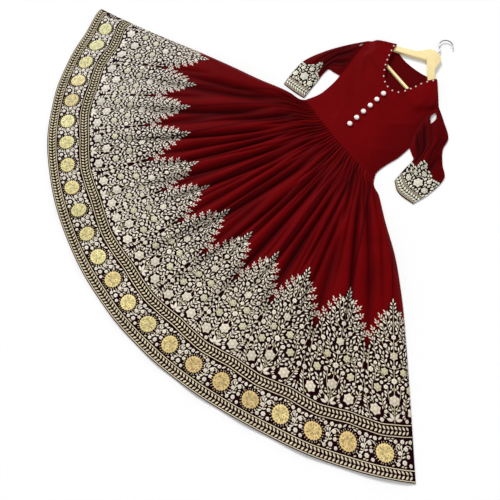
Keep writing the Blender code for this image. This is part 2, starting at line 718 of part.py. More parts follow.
def make_button(number):
    """A domed button: a sphere flattened into a dome with a flat seat."""
    centre = (0.0, BUTTON_TOP - BUTTON_STEP * (number - 1))
    mesh = bpy.data.meshes.new(f"button_{number}")
    shape = bmesh.new()
    bmesh.ops.create_uvsphere(shape, u_segments=BUTTON_SIDES, v_segments=BUTTON_RINGS, radius=BUTTON_RADIUS)
    squash = BUTTON_HEIGHT / ((1.0 + BUTTON_SEAT) * BUTTON_RADIUS)
    bmesh.ops.scale(shape, vec=(1.0, 1.0, squash), verts=shape.verts)
    seat_level = -BUTTON_SEAT * BUTTON_RADIUS * squash
    everything = shape.verts[:] + shape.edges[:] + shape.faces[:]
    bmesh.ops.bisect_plane(
        shape, geom=everything, plane_co=(0.0, 0.0, seat_level), plane_no=(0.0, 0.0, -1.0), clear_outer=True
    )
    rim = [edge for edge in shape.edges if edge.is_boundary]
    bmesh.ops.edgeloop_fill(shape, edges=rim)
    bmesh.ops.recalc_face_normals(shape, faces=shape.faces)
    shape.to_mesh(mesh)
    shape.free()
    button = bpy.data.objects.new(mesh.name, mesh)
    seat = max(
        bodice_height((centre[0] + BUTTON_RADIUS * cos(turn), centre[1] + BUTTON_RADIUS * sin(turn)))
        for turn in (0.0, pi / 2, pi, -pi / 2)
    )
    button.location = (centre[0], centre[1], seat + WALL + GAP - seat_level)
    return button


def arm_outline():
    """The hanger's outline in its own frame, counter-clockwise from the left tip's lower side."""
    slope = radians(ARM_SLOPE)
    half = ARM_WIDTH / 2
    tip_half = ARM_TIP_WIDTH / 2
    right = []
    along = Vector((cos(slope), -sin(slope)))
    outward = Vector((sin(slope), cos(slope)))
    tip = along * ARM_LENGTH
    for step in range(TIP_STEPS + 1):
        turn = pi / 2 - pi * step / TIP_STEPS
        right.append(tip + outward * tip_half * sin(turn) + along * tip_half * cos(turn))
    upper = [Vector((0.0, YOKE_RISE))] + [Vector(corner) for corner in YOKE_CORNERS]
    upper += [along * ARM_TOP_START + outward * half]
    upper += [along * ARM_MIDDLE + outward * half * ARM_MIDDLE_SHARE]
    lower = [along * ARM_MIDDLE - outward * half * ARM_MIDDLE_SHARE]
    lower += [along * ARM_LOW_START - outward * half]
    lower += [along * THROAT_REACH - outward * (half + THROAT_EASE)]
    apex = Vector((0.0, -half / cos(slope) - THROAT_DROP))
    side = upper + right + lower
    mirrored = [Vector((-point.x, point.y)) for point in reversed(side[1:])]
    return side + [apex] + mirrored


def flat_solid(name, outline, base, thickness, bevel):
    """A flat outline as a filled 2D curve, extruded and rounded at its edges."""
    data = bpy.data.curves.new(name, "CURVE")
    data.dimensions = "2D"
    data.fill_mode = "BOTH"
    data.extrude = thickness / 2
    line = data.splines.new("POLY")
    line.points.add(len(outline) - 1)
    for point, spot in zip(line.points, outline):
        point.co = (spot[0], spot[1], 0.0, 1.0)
    line.use_cyclic_u = True
    shape = bpy.data.objects.new(name, data)
    shape.location = (HANGER_CENTRE[0], HANGER_CENTRE[1], base + thickness / 2)
    shape.rotation_euler = (0.0, 0.0, radians(HANGER_TURN))
    weld = shape.modifiers.new("weld", "WELD")
    weld.merge_threshold = SAME_PLACE
    edge = shape.modifiers.new("edge", "BEVEL")
    edge.width = bevel
    edge.segments = 2
    edge.limit_method = "ANGLE"
    edge.angle_limit = radians(ROUNDED_FROM)
    return shape


def make_hanger_yoke():
    return flat_solid("hanger_yoke", arm_outline(), WOOD_BASE, WOOD, WOOD_EDGE)


def make_hanger_bar():
    reach = bar_reach()
    half = BAR_WIDTH / 2
    low = -BAR_DROP - half
    high = -BAR_DROP + half
    outline = [(-reach, low), (reach, low), (reach, high), (-reach, high)]
    return flat_solid("hanger_bar", outline, WOOD_BASE, BAR_THICK, BAR_EDGE)


def make_hanger_hook():
    """A wire hook: a short stem that bends into an open ring, swivelled in the yoke."""
    foot = GAP + HOOK_WIRE / 2 * sin(radians(HOOK_TURN))
    route = [Vector((0.0, foot)), Vector((0.0, HOOK_STEM / 2))]
    centre = Vector((HOOK_ASIDE, HOOK_STEM + HOOK_RADIUS * HOOK_RISE))
    for step in range(HOOK_STEPS + 1):
        turn = radians(HOOK_START - HOOK_SWEEP * step / HOOK_STEPS)
        route.append(centre + Vector((cos(turn), sin(turn))) * HOOK_RADIUS)
    data = bpy.data.curves.new("hanger_hook", "CURVE")
    data.dimensions = "3D"
    data.bevel_depth = HOOK_WIRE / 2
    data.bevel_resolution = 2
    data.use_fill_caps = True
    line = data.splines.new("POLY")
    line.points.add(len(route) - 1)
    for point, spot in zip(line.points, route):
        point.co = (spot.x, spot.y, 0.0, 1.0)
    hook = bpy.data.objects.new("hanger_hook", data)
    top = hanger_place(0.0, YOKE_RISE)
    hook.location = (top.x, top.y, WOOD_BASE + WOOD / 2)
    hook.rotation_euler = (0.0, 0.0, radians(HANGER_TURN + HOOK_TURN))
    return hook


def main():
    clear_scene()
    gown = bpy.data.collections.new("anarkali_gown")
    cutters = bpy.data.collections.new("cutters")
    bpy.context.scene.collection.children.link(gown)
    bpy.context.scene.collection.children.link(cutters)
    waist = bpy.data.objects.new("waist_seam_middle", None)
    waist.location = (-FOOTPRINT_MIDDLE[0], -FOOTPRINT_MIDDLE[1], 0.0)
    gown.objects.link(waist)

    def add(piece, look, collection=gown):
        collection.objects.link(piece)
        piece.parent = waist
        if look:
            piece.data.materials.append(make_material(piece.name, look))
        return piece

    add(make_skirt_back(), MAROON)
    add(make_skirt_front(), MAROON)
    add(make_bodice_back(), MAROON)
    add(make_bodice_front(), MAROON)
    for sleeve in SLEEVES:
        add(make_sleeve_back(sleeve), MAROON)
        cutter = add(make_keyhole_cutter(sleeve), None, cutters)
        cut(add(make_sleeve_front(sleeve), MAROON), cutter)
    for number in range(1, BUTTON_COUNT + 1):
        add(make_button(number), PEARL)
    add(make_hanger_yoke(), PALE_WOOD)
    add(make_hanger_bar(), PALE_WOOD)
    add(make_hanger_hook(), WIRE)


main()
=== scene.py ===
"""Looks of the anarkali gown laid out flat on its wooden hanger.

Metres, +Z up.  Plan sizes below are in the garment's own frame: its origin is the middle of
the waist seam, +X is the viewer's right and +Y runs from the waist to the neck.  ORIGIN moves
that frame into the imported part's frame.  Each sheet of cloth is a grid of points, and the
embroidery is drawn in the cloth's own coordinates and laid on that grid.
"""

from collections import namedtuple
from math import atan2, cos, degrees, pi, radians, sin

import bmesh
import bpy
import numpy as np
from mathutils import Matrix, Vector


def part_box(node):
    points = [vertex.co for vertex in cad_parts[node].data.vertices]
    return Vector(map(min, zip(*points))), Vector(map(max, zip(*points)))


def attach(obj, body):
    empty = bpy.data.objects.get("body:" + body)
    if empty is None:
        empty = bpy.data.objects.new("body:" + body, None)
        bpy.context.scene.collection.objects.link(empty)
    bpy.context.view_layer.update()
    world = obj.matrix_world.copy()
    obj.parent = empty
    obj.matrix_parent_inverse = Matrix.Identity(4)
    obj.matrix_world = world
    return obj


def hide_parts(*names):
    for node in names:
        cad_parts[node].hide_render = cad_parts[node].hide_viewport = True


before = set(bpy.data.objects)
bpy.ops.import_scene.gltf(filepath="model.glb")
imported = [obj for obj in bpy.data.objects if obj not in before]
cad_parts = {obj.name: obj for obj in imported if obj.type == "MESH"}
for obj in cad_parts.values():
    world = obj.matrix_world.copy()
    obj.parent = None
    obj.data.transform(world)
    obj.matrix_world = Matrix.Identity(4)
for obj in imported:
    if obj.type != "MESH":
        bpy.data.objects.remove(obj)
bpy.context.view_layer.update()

# Middle of the waist seam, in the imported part's frame
ORIGIN = np.array([0.0723, 0.1927, 0.0])

# Cloth and clearances
WALL = 0.0012
GAP = 0.0003
LAYER = WALL + GAP
SEWN = 0.0004

# Waist seam and skirt, as in the part's source
WAIST_LEFT = np.array([-0.185, 0.031])
WAIST_RIGHT = np.array([0.210, -0.032])
WAIST_SAG = 0.008
FAN_CENTRE = np.array([0.026, 0.246])
HEM_SPAN = (-155.9, -45.0)
WAIST_BLEND = 0.06

SkirtEdge = namedtuple("SkirtEdge", "radius left right")
SKIRT_EDGES = [
    SkirtEdge(0.300, -134.3, -58.6),
    SkirtEdge(0.333, -137.2, -56.5),
    SkirtEdge(0.390, -141.6, -52.8),
    SkirtEdge(0.470, -144.8, -49.9),
    SkirtEdge(0.590, -148.6, -46.5),
    SkirtEdge(0.720, -151.1, -45.2),
    SkirtEdge(0.850, -152.6, -44.9),
    SkirtEdge(1.280, -156.2, -45.0),
]

HemPoint = namedtuple("HemPoint", "angle radius")
HEM = [
    HemPoint(-156.0, 1.206),
    HemPoint(-149.0, 1.214),
    HemPoint(-141.0, 1.241),
    HemPoint(-128.0, 1.262),
    HemPoint(-110.0, 1.254),
    HemPoint(-94.0, 1.244),
    HemPoint(-70.0, 1.233),
    HemPoint(-57.0, 1.252),
    HemPoint(-45.0, 1.275),
]

Puff = namedtuple("Puff", "down height")
SKIRT_PUFF = [
    Puff(0.00, 0.0020),
    Puff(0.03, 0.0060),
    Puff(0.08, 0.0125),
    Puff(0.16, 0.0185),
    Puff(0.30, 0.0210),
    Puff(0.45, 0.0190),
    Puff(0.62, 0.0130),
    Puff(0.80, 0.0075),
    Puff(0.92, 0.0035),
    Puff(1.05, 0.0030),
]

# Main folds of the skirt front, on the same lines as in the part's source
Fold = namedtuple("Fold", "start end first middle last depth width")
FOLDS = [
    Fold(0.44, 0.86, -136.6, -140.6, -143.4, 0.66, 0.015),
    Fold(0.32, 1.05, -132.6, -137.6, -140.8, 0.74, 0.021),
    Fold(0.40, 1.10, -126.8, -130.2, -132.8, 0.90, 0.017),
    Fold(0.32, 0.60, -123.9, -124.4, -125.2, 0.90, 0.013),
    Fold(0.29, 0.45, -119.0, -119.4, -120.0, 0.70, 0.007),
    Fold(0.36, 1.15, -116.6, -121.9, -125.6, 0.90, 0.009),
    Fold(0.42, 0.92, -114.8, -117.4, -119.4, 0.75, 0.008),
    Fold(0.36, 1.00, -112.3, -114.4, -116.6, 0.90, 0.009),
    Fold(0.28, 0.42, -110.3, -110.8, -111.2, 0.70, 0.007),
    Fold(0.32, 1.12, -106.2, -110.2, -113.4, 0.92, 0.010),
    Fold(0.30, 0.42, -103.9, -103.6, -103.4, 0.65, 0.006),
    Fold(0.38, 1.02, -102.4, -105.4, -107.6, 0.92, 0.011),
    Fold(0.42, 0.90, -100.8, -101.0, -101.4, 0.60, 0.007),
    Fold(0.33, 1.18, -97.1, -98.0, -98.6, 0.80, 0.008),
    Fold(0.29, 1.05, -92.0, -95.4, -98.0, 0.94, 0.013),
    Fold(0.46, 1.14, -88.0, -89.8, -91.6, 0.88, 0.009),
    Fold(0.30, 0.86, -85.0, -86.3, -87.0, 0.78, 0.009),
    Fold(0.29, 1.10, -81.6, -82.7, -83.6, 0.94, 0.012),
    Fold(0.29, 0.96, -76.2, -77.2, -79.0, 0.80, 0.008),
    Fold(0.34, 0.98, -72.8, -74.3, -75.4, 0.88, 0.010),
    Fold(0.30, 0.84, -69.4, -70.2, -71.4, 0.72, 0.007),
    Fold(0.31, 0.52, -68.9, -66.6, -65.5, 0.70, 0.008),
    Fold(0.46, 0.94, -66.9, -67.2, -67.6, 0.74, 0.009),
    Fold(0.31, 0.95, -63.2, -58.8, -56.2, 0.86, 0.010),
    Fold(0.36, 0.80, -58.6, -54.6, -52.6, 0.62, 0.012),
]
FOLD_LEAD = 0.03
FOLD_TAIL = 0.06
FOLD_RISE = 0.25
FOLD_FALL = 0.45
FOLD_SHARPNESS = 1.5
# Painted shade: how much the cloth's fold shade darkens the thread, a painted shade over the skirt's left part that
# fades out by LEFT_SHADE_REACH across, and how the fold shade grows
THREAD_FOLD_SHADE = 0.58
THREAD_LIGHT = (1.03, 1.00)
LEFT_SHADE = 0.11
LEFT_SHADE_REACH = 0.55
FOLD_SHADE_POWER = 1.15
FOLD_SHADE_MOST = 0.92
RIM_SHARP = 55

# How far the rucked cloth pulls the bands along the hem out of their arcs
RUCK = 0.0036
RUCK_WAVES = 60.0
RUCK_DRIFT = (1.6, 7.0)
RUCK_FADE = 0.13

# Finer creases of the skirt, which the solids leave out
CREASES = [
    Fold(0.34, 0.66, -135.0, -135.6, -136.4, 0.46, 0.010),
    Fold(0.36, 0.82, -129.4, -128.4, -127.4, 0.44, 0.009),
    Fold(0.46, 0.90, -125.0, -126.0, -127.4, 0.46, 0.008),
    Fold(0.31, 0.50, -121.4, -121.8, -122.6, 0.45, 0.005),
    Fold(0.30, 0.46, -114.0, -114.4, -115.0, 0.50, 0.005),
    Fold(0.46, 0.80, -109.6, -112.4, -114.6, 0.30, 0.005),
    Fold(0.29, 0.44, -108.2, -108.4, -108.8, 0.55, 0.005),
    Fold(0.50, 0.88, -107.4, -108.6, -109.6, 0.34, 0.006),
    Fold(0.28, 0.44, -99.4, -99.2, -99.0, 0.55, 0.005),
    Fold(0.56, 0.92, -102.6, -103.4, -104.2, 0.35, 0.006),
    Fold(0.28, 0.46, -94.6, -94.2, -94.2, 0.45, 0.005),
    Fold(0.62, 0.98, -94.0, -94.2, -94.0, 0.34, 0.007),
    Fold(0.29, 0.46, -89.2, -89.0, -89.4, 0.50, 0.005),
    Fold(0.34, 0.60, -83.4, -84.0, -84.6, 0.34, 0.005),
    Fold(0.28, 0.46, -79.0, -79.4, -79.8, 0.50, 0.005),
    Fold(0.58, 0.90, -80.4, -80.4, -80.8, 0.34, 0.007),
    Fold(0.28, 0.44, -74.6, -74.8, -75.2, 0.45, 0.005),
    Fold(0.54, 0.86, -72.2, -72.0, -72.0, 0.35, 0.006),
    Fold(0.30, 0.48, -71.4, -71.8, -72.4, 0.40, 0.005),
    Fold(0.30, 0.46, -66.2, -65.0, -64.0, 0.50, 0.005),
    Fold(0.44, 0.78, -64.0, -62.6, -61.8, 0.34, 0.006),
    Fold(0.31, 0.60, -60.6, -57.0, -54.4, 0.40, 0.006),
    Fold(0.50, 0.80, -51.2, -50.2, -49.6, 0.34, 0.008),
]

# Soft dips of the cloth between the stiff embroidered trees
VALLEYS = [
    Fold(0.66, 0.98, -143.4, -143.8, -144.0, 0.34, 0.013),
    Fold(0.64, 1.00, -134.8, -135.2, -135.4, 0.46, 0.014),
    Fold(0.60, 0.99, -127.0, -127.2, -127.4, 0.52, 0.015),
    Fold(0.63, 0.97, -118.4, -118.0, -117.9, 0.44, 0.013),
    Fold(0.58, 1.01, -109.2, -109.5, -109.8, 0.55, 0.014),
    Fold(0.62, 0.99, -101.6, -101.2, -101.0, 0.48, 0.015),
    Fold(0.57, 1.02, -92.4, -92.0, -91.7, 0.58, 0.017),
    Fold(0.60, 0.98, -82.6, -83.0, -83.2, 0.50, 0.016),
    Fold(0.56, 1.03, -74.4, -74.0, -73.6, 0.64, 0.019),
    Fold(0.54, 1.02, -64.6, -63.9, -63.2, 0.68, 0.020),
    Fold(0.60, 1.00, -53.2, -52.9, -52.5, 0.52, 0.016),
]

# Gathers at the waist seam
GATHERS = 33
GATHER_HEIGHT = 0.0022
GATHER_LENGTH = 0.105
GATHER_UNEVEN = 0.35
GATHER_WAVES = (41.0, 23.0)
GATHER_FADE = (0.35, 1.6)
PLEAT_DEPTH = (0.35, 0.80)
PLEAT_LENGTH = (0.07, 0.24)
PLEAT_WIDTH = (0.0026, 0.0046)

SKIRT_EDGE_TUCK = 0.004
SKIRT_EDGE_ROLL = 0.030
SKIRT_EDGE_ROUND = 0.7
HEM_WAVE = 0.0016
HEM_WAVES = 11.5
HEM_WAVE_DRIFT = 9.0
HEM_WAVE_START = (0.45, 0.85)
SKIRT_COLUMNS = 560
SKIRT_ROWS = 108
BACK_SHRINK = 0.003

# Edges of the bodice, each from its lower or left end
BODICE_LEFT_SIDE = [(-0.185, 0.031), (-0.166, 0.084), (-0.163, 0.126), (-0.165, 0.173), (-0.170, 0.201)]
BODICE_RIGHT_SIDE = [(0.210, -0.032), (0.198, -0.005), (0.201, 0.040), (0.212, 0.095), (0.214, 0.152)]
ARMHOLE_LEFT = [(-0.170, 0.201), (-0.176, 0.245), (-0.187, 0.290), (-0.196, 0.340), (-0.203, 0.393)]
ARMHOLE_RIGHT = [(0.214, 0.152), (0.194, 0.200), (0.177, 0.256), (0.172, 0.305), (0.176, 0.358)]
ARMHOLE_SHARE = 0.50
SHOULDER_LEFT = [(-0.203, 0.393), (-0.158, 0.429), (-0.112, 0.456)]
SHOULDER_RIGHT = [(0.101, 0.441), (0.138, 0.401), (0.176, 0.358)]
NECK_FRONT = [
    (-0.112, 0.456), (-0.104, 0.430), (-0.090, 0.390), (-0.066, 0.340), (-0.040, 0.308),
    (0.002, 0.291), (0.038, 0.304), (0.054, 0.338), (0.068, 0.385), (0.101, 0.441),
]
NECK_BACK = [
    (-0.112, 0.456), (-0.084, 0.436), (-0.040, 0.423), (0.012, 0.421), (0.060, 0.427), (0.101, 0.441),
]
SHOULDER_SHARE = 0.24
BODICE_LOOSE = 0.0006
# Painted shade on the inside of the back panel, seen through the neck, and on the front towards the right armhole
INSIDE_SHADE = 0.42
BODICE_SHADE = 0.38
BODICE_EASE = 0.0012
EASE_WAVES = (21.0, 9.0)
SIDE_FALL = (-0.01, 0.06)
SIDE_LEAST = 0.12
SHOULDER_FALL = 0.012
SHOULDER_LEAST = 0.10

# Soft creases of the bodice: a line in plan, how high it stands and how wide it is
Crease = namedtuple("Crease", "start end height width")
BODICE_CREASES = [
    Crease((0.168, 0.246), (0.080, 0.150), 0.0024, 0.012),
    Crease((0.190, 0.176), (0.128, 0.094), -0.0018, 0.014),
    Crease((0.196, 0.110), (0.120, 0.052), 0.0016, 0.011),
    Crease((0.150, 0.330), (0.118, 0.236), -0.0014, 0.012),
    Crease((-0.150, 0.250), (-0.070, 0.170), -0.0014, 0.013),
    Crease((-0.150, 0.130), (-0.082, 0.088), 0.0013, 0.011),
    Crease((-0.168, 0.330), (-0.120, 0.262), 0.0018, 0.010),
    Crease((-0.130, 0.180), (-0.046, 0.112), 0.0010, 0.014),
    Crease((0.030, 0.120), (0.064, 0.030), -0.0010, 0.013),
    Crease((-0.060, 0.078), (-0.040, 0.022), 0.0010, 0.010),
    Crease((0.112, 0.082), (0.142, 0.010), 0.0012, 0.010),
]

Sleeve = namedtuple("Sleeve", "name side inner outer opening keyhole keyhole_turn keyhole_grow folds creases")
SleeveFold = namedtuple("SleeveFold", "across_top across_low start end depth width")
SLEEVES = [
    Sleeve(
        name="left",
        side=-1,
        inner=[(-0.170, 0.201), (-0.196, 0.196), (-0.221, 0.190), (-0.210, 0.110), (-0.196, 0.034)],
        outer=[(-0.203, 0.393), (-0.246, 0.322), (-0.286, 0.240), (-0.312, 0.152), (-0.306, 0.085),
               (-0.292, 0.024)],
        opening=[(-0.196, 0.034), (-0.242, 0.027), (-0.292, 0.024)],
        keyhole=(-0.2083, 0.3600),
        keyhole_turn=82.0,
        keyhole_grow=(-0.0080, -0.0055),
        folds=[
            SleeveFold(0.72, 0.22, 0.02, 0.66, 0.92, 0.013),
            SleeveFold(0.40, 0.10, 0.00, 0.56, 0.90, 0.013),
            SleeveFold(0.92, 0.62, 0.10, 0.60, 0.62, 0.012),
        ],
        creases=[
            SleeveFold(0.56, 0.30, 0.04, 0.50, 0.40, 0.005),
            SleeveFold(0.82, 0.42, 0.12, 0.60, 0.40, 0.006),
            SleeveFold(0.24, 0.06, 0.02, 0.34, 0.45, 0.005),
            SleeveFold(0.50, 0.74, 0.46, 0.66, 0.35, 0.006),
        ],
    ),
    Sleeve(
        name="right",
        side=1,
        inner=[(0.214, 0.152), (0.236, 0.139), (0.254, 0.126), (0.257, 0.070), (0.262, 0.017)],
        outer=[(0.176, 0.358), (0.232, 0.320), (0.284, 0.280), (0.300, 0.230), (0.336, 0.184),
               (0.374, 0.148), (0.377, 0.070), (0.363, -0.003)],
        opening=[(0.262, 0.017), (0.300, -0.007), (0.363, -0.003)],
        keyhole=(0.1945, 0.303),
        keyhole_turn=110.0,
        keyhole_grow=(0.0060, 0.0005),
        folds=[
            SleeveFold(0.60, 0.24, 0.04, 0.54, 0.90, 0.012),
            SleeveFold(0.34, 0.10, 0.02, 0.48, 0.90, 0.012),
            SleeveFold(0.86, 0.66, 0.22, 0.66, 0.60, 0.010),
            SleeveFold(0.98, 0.42, 0.46, 0.74, 0.65, 0.010),
        ],
        creases=[
            SleeveFold(0.47, 0.18, 0.03, 0.46, 0.40, 0.005),
            SleeveFold(0.74, 0.44, 0.10, 0.56, 0.42, 0.006),
            SleeveFold(0.94, 0.78, 0.30, 0.60, 0.35, 0.005),
            SleeveFold(0.70, 0.26, 0.52, 0.72, 0.35, 0.006),
        ],
    ),
]
# Painted shade laid over the whole of each sleeve
SLEEVE_SHADE = 0.36
SLEEVE_PUFF = 0.0085
CUFF_PUFF = 0.0030
CUFF_BLEND = (0.46, 0.76)
SLEEVE_HEAD = (-0.02, 0.10)
OPENING_FALL = (0.9, 1.0)
OPENING_FLATTEN = 0.5
SLEEVE_ACROSS = 0.12
SLEEVE_FOLD_RISE = (-0.15, 0.2)
SLEEVE_FOLD_FALL = (0.7, 1.15)
SLEEVE_ROLL = (-0.02, 0.22)
SLEEVE_ROUND = 0.8
KEYHOLE_LENGTH = 0.044
KEYHOLE_WIDTH = 0.019
KEYHOLE_BINDING = 0.0008
KEYHOLE_BEHIND = 0.0045
KEYHOLE_POINTS = 16
KEYHOLE_ROUND = 0.9

# Hanger under the bodice front
HANGER_CENTRE = np.array([0.020, 0.497])
HANGER_TURN = -11.0
WOOD = 0.010
WOOD_BASE = LAYER + GAP
ARM_SLOPE = 38.0
ARM_LENGTH = 0.188
ARM_WIDTH = 0.027
ARM_TIP_WIDTH = 0.021
BAR_DROP = 0.157
BAR_THICK = 0.009
BAR_WIDTH = 0.010
ARM_MARGIN = 0.013
BAR_MARGIN = 0.014
ARM_EDGE_MARGIN = 0.004
ARM_FALL_OUT = 0.007
TIP_MARGIN = 0.012
TIP_FALL = 0.026
ARM_FALL_IN = 0.060
BAR_FALL = 0.032
BAR_END_FALL = (0.03, 0.004)
LIFT_POWER = 4

# Buttons
BUTTON_TOP = 0.252
BUTTON_STEP = 0.0364
BUTTON_COUNT = 6
BUTTON_RADIUS = 0.0092
BUTTON_HEIGHT = 0.0085

# Pearls and piping along the neck
PEARL_RADIUS = 0.0030
PEARL_STEP = 0.0235
PEARL_INSET = 0.0055
PIPING_RADIUS = 0.0011

# Stitching beside the seams
STITCH_STEP = 0.0034
STITCH_WIDTH = 0.0008
STITCH_LIFT = 0.0004
SEAM_STITCH_INSET = 0.0030
NECK_STITCH_INSET = 0.0100

# Embroidered trees: the angles of their axes about the fan's centre
TREE_ANGLES = [-148.5, -139.2, -131.6, -122.9, -113.3, -105.9, -96.6, -87.5, -78.5, -69.4, -57.9, -47.6]
TREE_BASE = 0.152
TREE_VALLEY = 0.350
TREE_TIP = 0.520
TREE_PITCH = (0.186, 0.128)
LEFT_REACH = 0.50
LEFT_SIZE = 1.05
LEFT_LEAST = 0.0104

# Bands along the hem, as distances in from its edge
OUTER_LINES = [0.0040, 0.0316]
OUTER_MIDDLE = 0.0178
INNER_LINES = [0.1180, 0.1498]
INNER_MIDDLE = 0.1339
CHEVRON_PITCH = 0.0117
CHEVRON_LEAF = (0.0150, 0.0074)
CHEVRON_ASIDE = 0.0062
VINE_BAND = (0.0350, 0.1145)

# Round medallions between the two chevron bands
COINS = 22
COINS_HIDDEN = 1
COIN_ANGLES = (-147.0, -49.0)
COIN_CLOSING = 0.11
COIN_IN = 0.0700
COIN_SIZE = 0.0575
COIN_TICKS = 26
COIN_TICK = (0.0056, 0.0022)
COIN_DRIFT = 0.38

Look = namedtuple("Look", "red green blue")
MAROON = Look(110, 3, 6)
MAROON_DEEP = Look(100, 2, 6)
# Colour of the cloth's painted shade deep in its folds
MAROON_FOLD_SHADE = Look(24, 0, 2)
STITCH = Look(112, 6, 10)
# Colour of the painted shade on the cloth among the embroidery threads
PAINTED_GAP_SHADE = Look(26, 2, 7)
THREAD = Look(253, 244, 229)
THREAD_WARM = Look(247, 231, 201)
THREAD_GREEN = Look(234, 229, 198)
THREAD_CUFF = Look(255, 252, 232)
KHAKI = Look(232, 218, 170)
GOLD_LEFT = Look(238, 231, 158)
GOLD_RIGHT = Look(226, 195, 128)
PEARL = Look(244, 232, 228)
BUTTON = Look(255, 250, 249)
WOOD_PALE = Look(252, 234, 176)
WOOD_GRAIN = Look(240, 212, 144)
WIRE = Look(150, 150, 156)
FLOOR = Look(250, 250, 250)

# Studio: the floor's half size and depth, and each sun's name, place, spread and power
FLOOR_HALF = 40.0
FLOOR_DROP = 0.0002
LIGHTS = [("key", (-4.2, 1.6, 3.2), 16.0, 2.5), ("fill", (3.0, -2.4, 4.6), 60.0, 0.35)]


def linear(look):
    """A colour given from 0 to 255 as a screen shows it, as the renderer wants it."""
    shares = np.array(look, float) / 255.0
    return np.where(shares <= 0.04045, shares / 12.92, ((shares + 0.055) / 1.055) ** 2.4)


def smooth_step(low, high, value):
    share = np.clip((np.asarray(value, float) - low) / (high - low), 0.0, 1.0)
    return share * share * (3.0 - 2.0 * share)


def mix(first, second, share):
    return first + (second - first) * share


def follow(stations, values, at):
    """Smooth curve through values at rising stations, held level past both ends."""
    stations = np.asarray(stations, float)
    values = np.asarray(values, float)
    at = np.clip(np.asarray(at, float), stations[0], stations[-1])
    index = np.clip(np.searchsorted(stations, at, side="right") - 1, 0, len(stations) - 2)
    span = stations[index + 1] - stations[index]
    share = (at - stations[index]) / span
    places = np.arange(len(stations))
    before = np.maximum(places - 1, 0)
    after = np.minimum(places + 1, len(stations) - 1)
    gaps = stations[after] - stations[before]
    if values.ndim > 1:
        gaps = gaps[:, None]
        span = span[..., None]
        share = share[..., None]
    slopes = (values[after] - values[before]) / gaps
    square = share * share
    cube = square * share
    return (
        values[index] * (2 * cube - 3 * square + 1)
        + slopes[index] * span * (cube - 2 * square + share)
        + values[index + 1] * (3 * square - 2 * cube)
        + slopes[index + 1] * span * (cube - square)
    )


def column_of(table, name):
    return [getattr(row, name) for row in table]


def curve(points):
    """A function of 0 to 1 that runs along a smooth curve through plan points."""
    points = np.asarray(points, float)
    steps = np.linalg.norm(np.diff(points, axis=0), axis=1)
    stations = np.concatenate([[0.0], np.cumsum(steps)])
    return lambda share: follow(stations, points, np.asarray(share, float) * stations[-1])


def chain(first, second, first_share):
    """Two curves run one after the other as one function of 0 to 1."""
    def run(share):
        share = np.asarray(share, float)
        early = first(np.clip(share / first_share, 0.0, 1.0))
        late = second(np.clip((share - first_share) / (1.0 - first_share), 0.0, 1.0))
        return np.where((share < first_share)[..., None], early, late)
    return run


def patch(low, high, left, right, across, up):
    """Points inside four boundary curves that meet at their corners."""
    one = across[..., None]
    two = up[..., None]
    sides = left(up) * (1 - one) + right(up) * one
    ends = low(across) * (1 - two) + high(across) * two
    zero = np.zeros_like(across)
    full = np.ones_like(across)
    corners = (low(zero) * (1 - one) + low(full) * one) * (1 - two)
    corners = corners + (high(zero) * (1 - one) + high(full) * one) * two
    return sides + ends - corners


def on_ray(angle, radius):
    turn = np.radians(angle)
    return np.stack([FAN_CENTRE[0] + np.cos(turn) * radius, FAN_CENTRE[1] + np.sin(turn) * radius], axis=-1)


def waist_radius(angle):
    """Distance from the fan's centre to the waist seam at an angle."""
    start = WAIST_LEFT - FAN_CENTRE
    chord = WAIST_RIGHT - WAIST_LEFT
    turn = np.radians(angle)
    ray_x, ray_y = np.cos(turn), np.sin(turn)
    radius = (start[0] * chord[1] - start[1] * chord[0]) / (ray_x * chord[1] - ray_y * chord[0])
    along = (ray_x * radius - start[0]) * chord[0] + (ray_y * radius - start[1]) * chord[1]
    share = along / (chord @ chord)
    return radius + WAIST_SAG * 4 * share * (1 - share)


def waist_angle(across):
    ends = [point - FAN_CENTRE for point in (WAIST_LEFT, WAIST_RIGHT)]
    first, last = [degrees(atan2(end[1], end[0])) for end in ends]
    return mix(first, last, np.asarray(across, float))


def waist_point(across, shift=0.0):
    angle = waist_angle(across)
    return on_ray(angle, waist_radius(angle) + shift)


def hem_radius(angle):
    return follow(column_of(HEM, "angle"), column_of(HEM, "radius"), angle)


def skirt_place(across, down, shrink=0.0):
    """Angle and radius on the skirt, 0 to 1 across and 0 to 1 from waist to hem."""
    start = waist_angle(across)
    top = waist_radius(start)
    bottom = hem_radius(mix(HEM_SPAN[0], HEM_SPAN[1], across)) - shrink
    radius = mix(top, bottom, down)
    stations = column_of(SKIRT_EDGES, "radius")
    left_radius = mix(waist_radius(waist_angle(0.0)), hem_radius(HEM_SPAN[0]), down)
    right_radius = mix(waist_radius(waist_angle(1.0)), hem_radius(HEM_SPAN[1]), down)
    left = follow(stations, column_of(SKIRT_EDGES, "left"), left_radius)
    right = follow(stations, column_of(SKIRT_EDGES, "right"), right_radius)
    inset = np.degrees(shrink / radius)
    angle = mix(left + inset, right - inset, across)
    return mix(start, angle, smooth_step(0.0, WAIST_BLEND, down)), radius


def trough(fold, angle, radius):
    """How much of the puff one fold takes away at each place, 0 to 1."""
    middle = (fold.start + fold.end) / 2
    line = follow([fold.start, middle, fold.end], [fold.first, fold.middle, fold.last], radius)
    aside = np.abs(np.radians(angle - line)) * radius / fold.width
    length = fold.end - fold.start
    fade = smooth_step(fold.start - FOLD_LEAD, fold.start + FOLD_RISE * length, radius)
    fade = fade * (1.0 - smooth_step(fold.end - FOLD_FALL * length, fold.end + FOLD_TAIL, radius))
    return fold.depth * fade * np.exp(-aside ** FOLD_SHARPNESS)


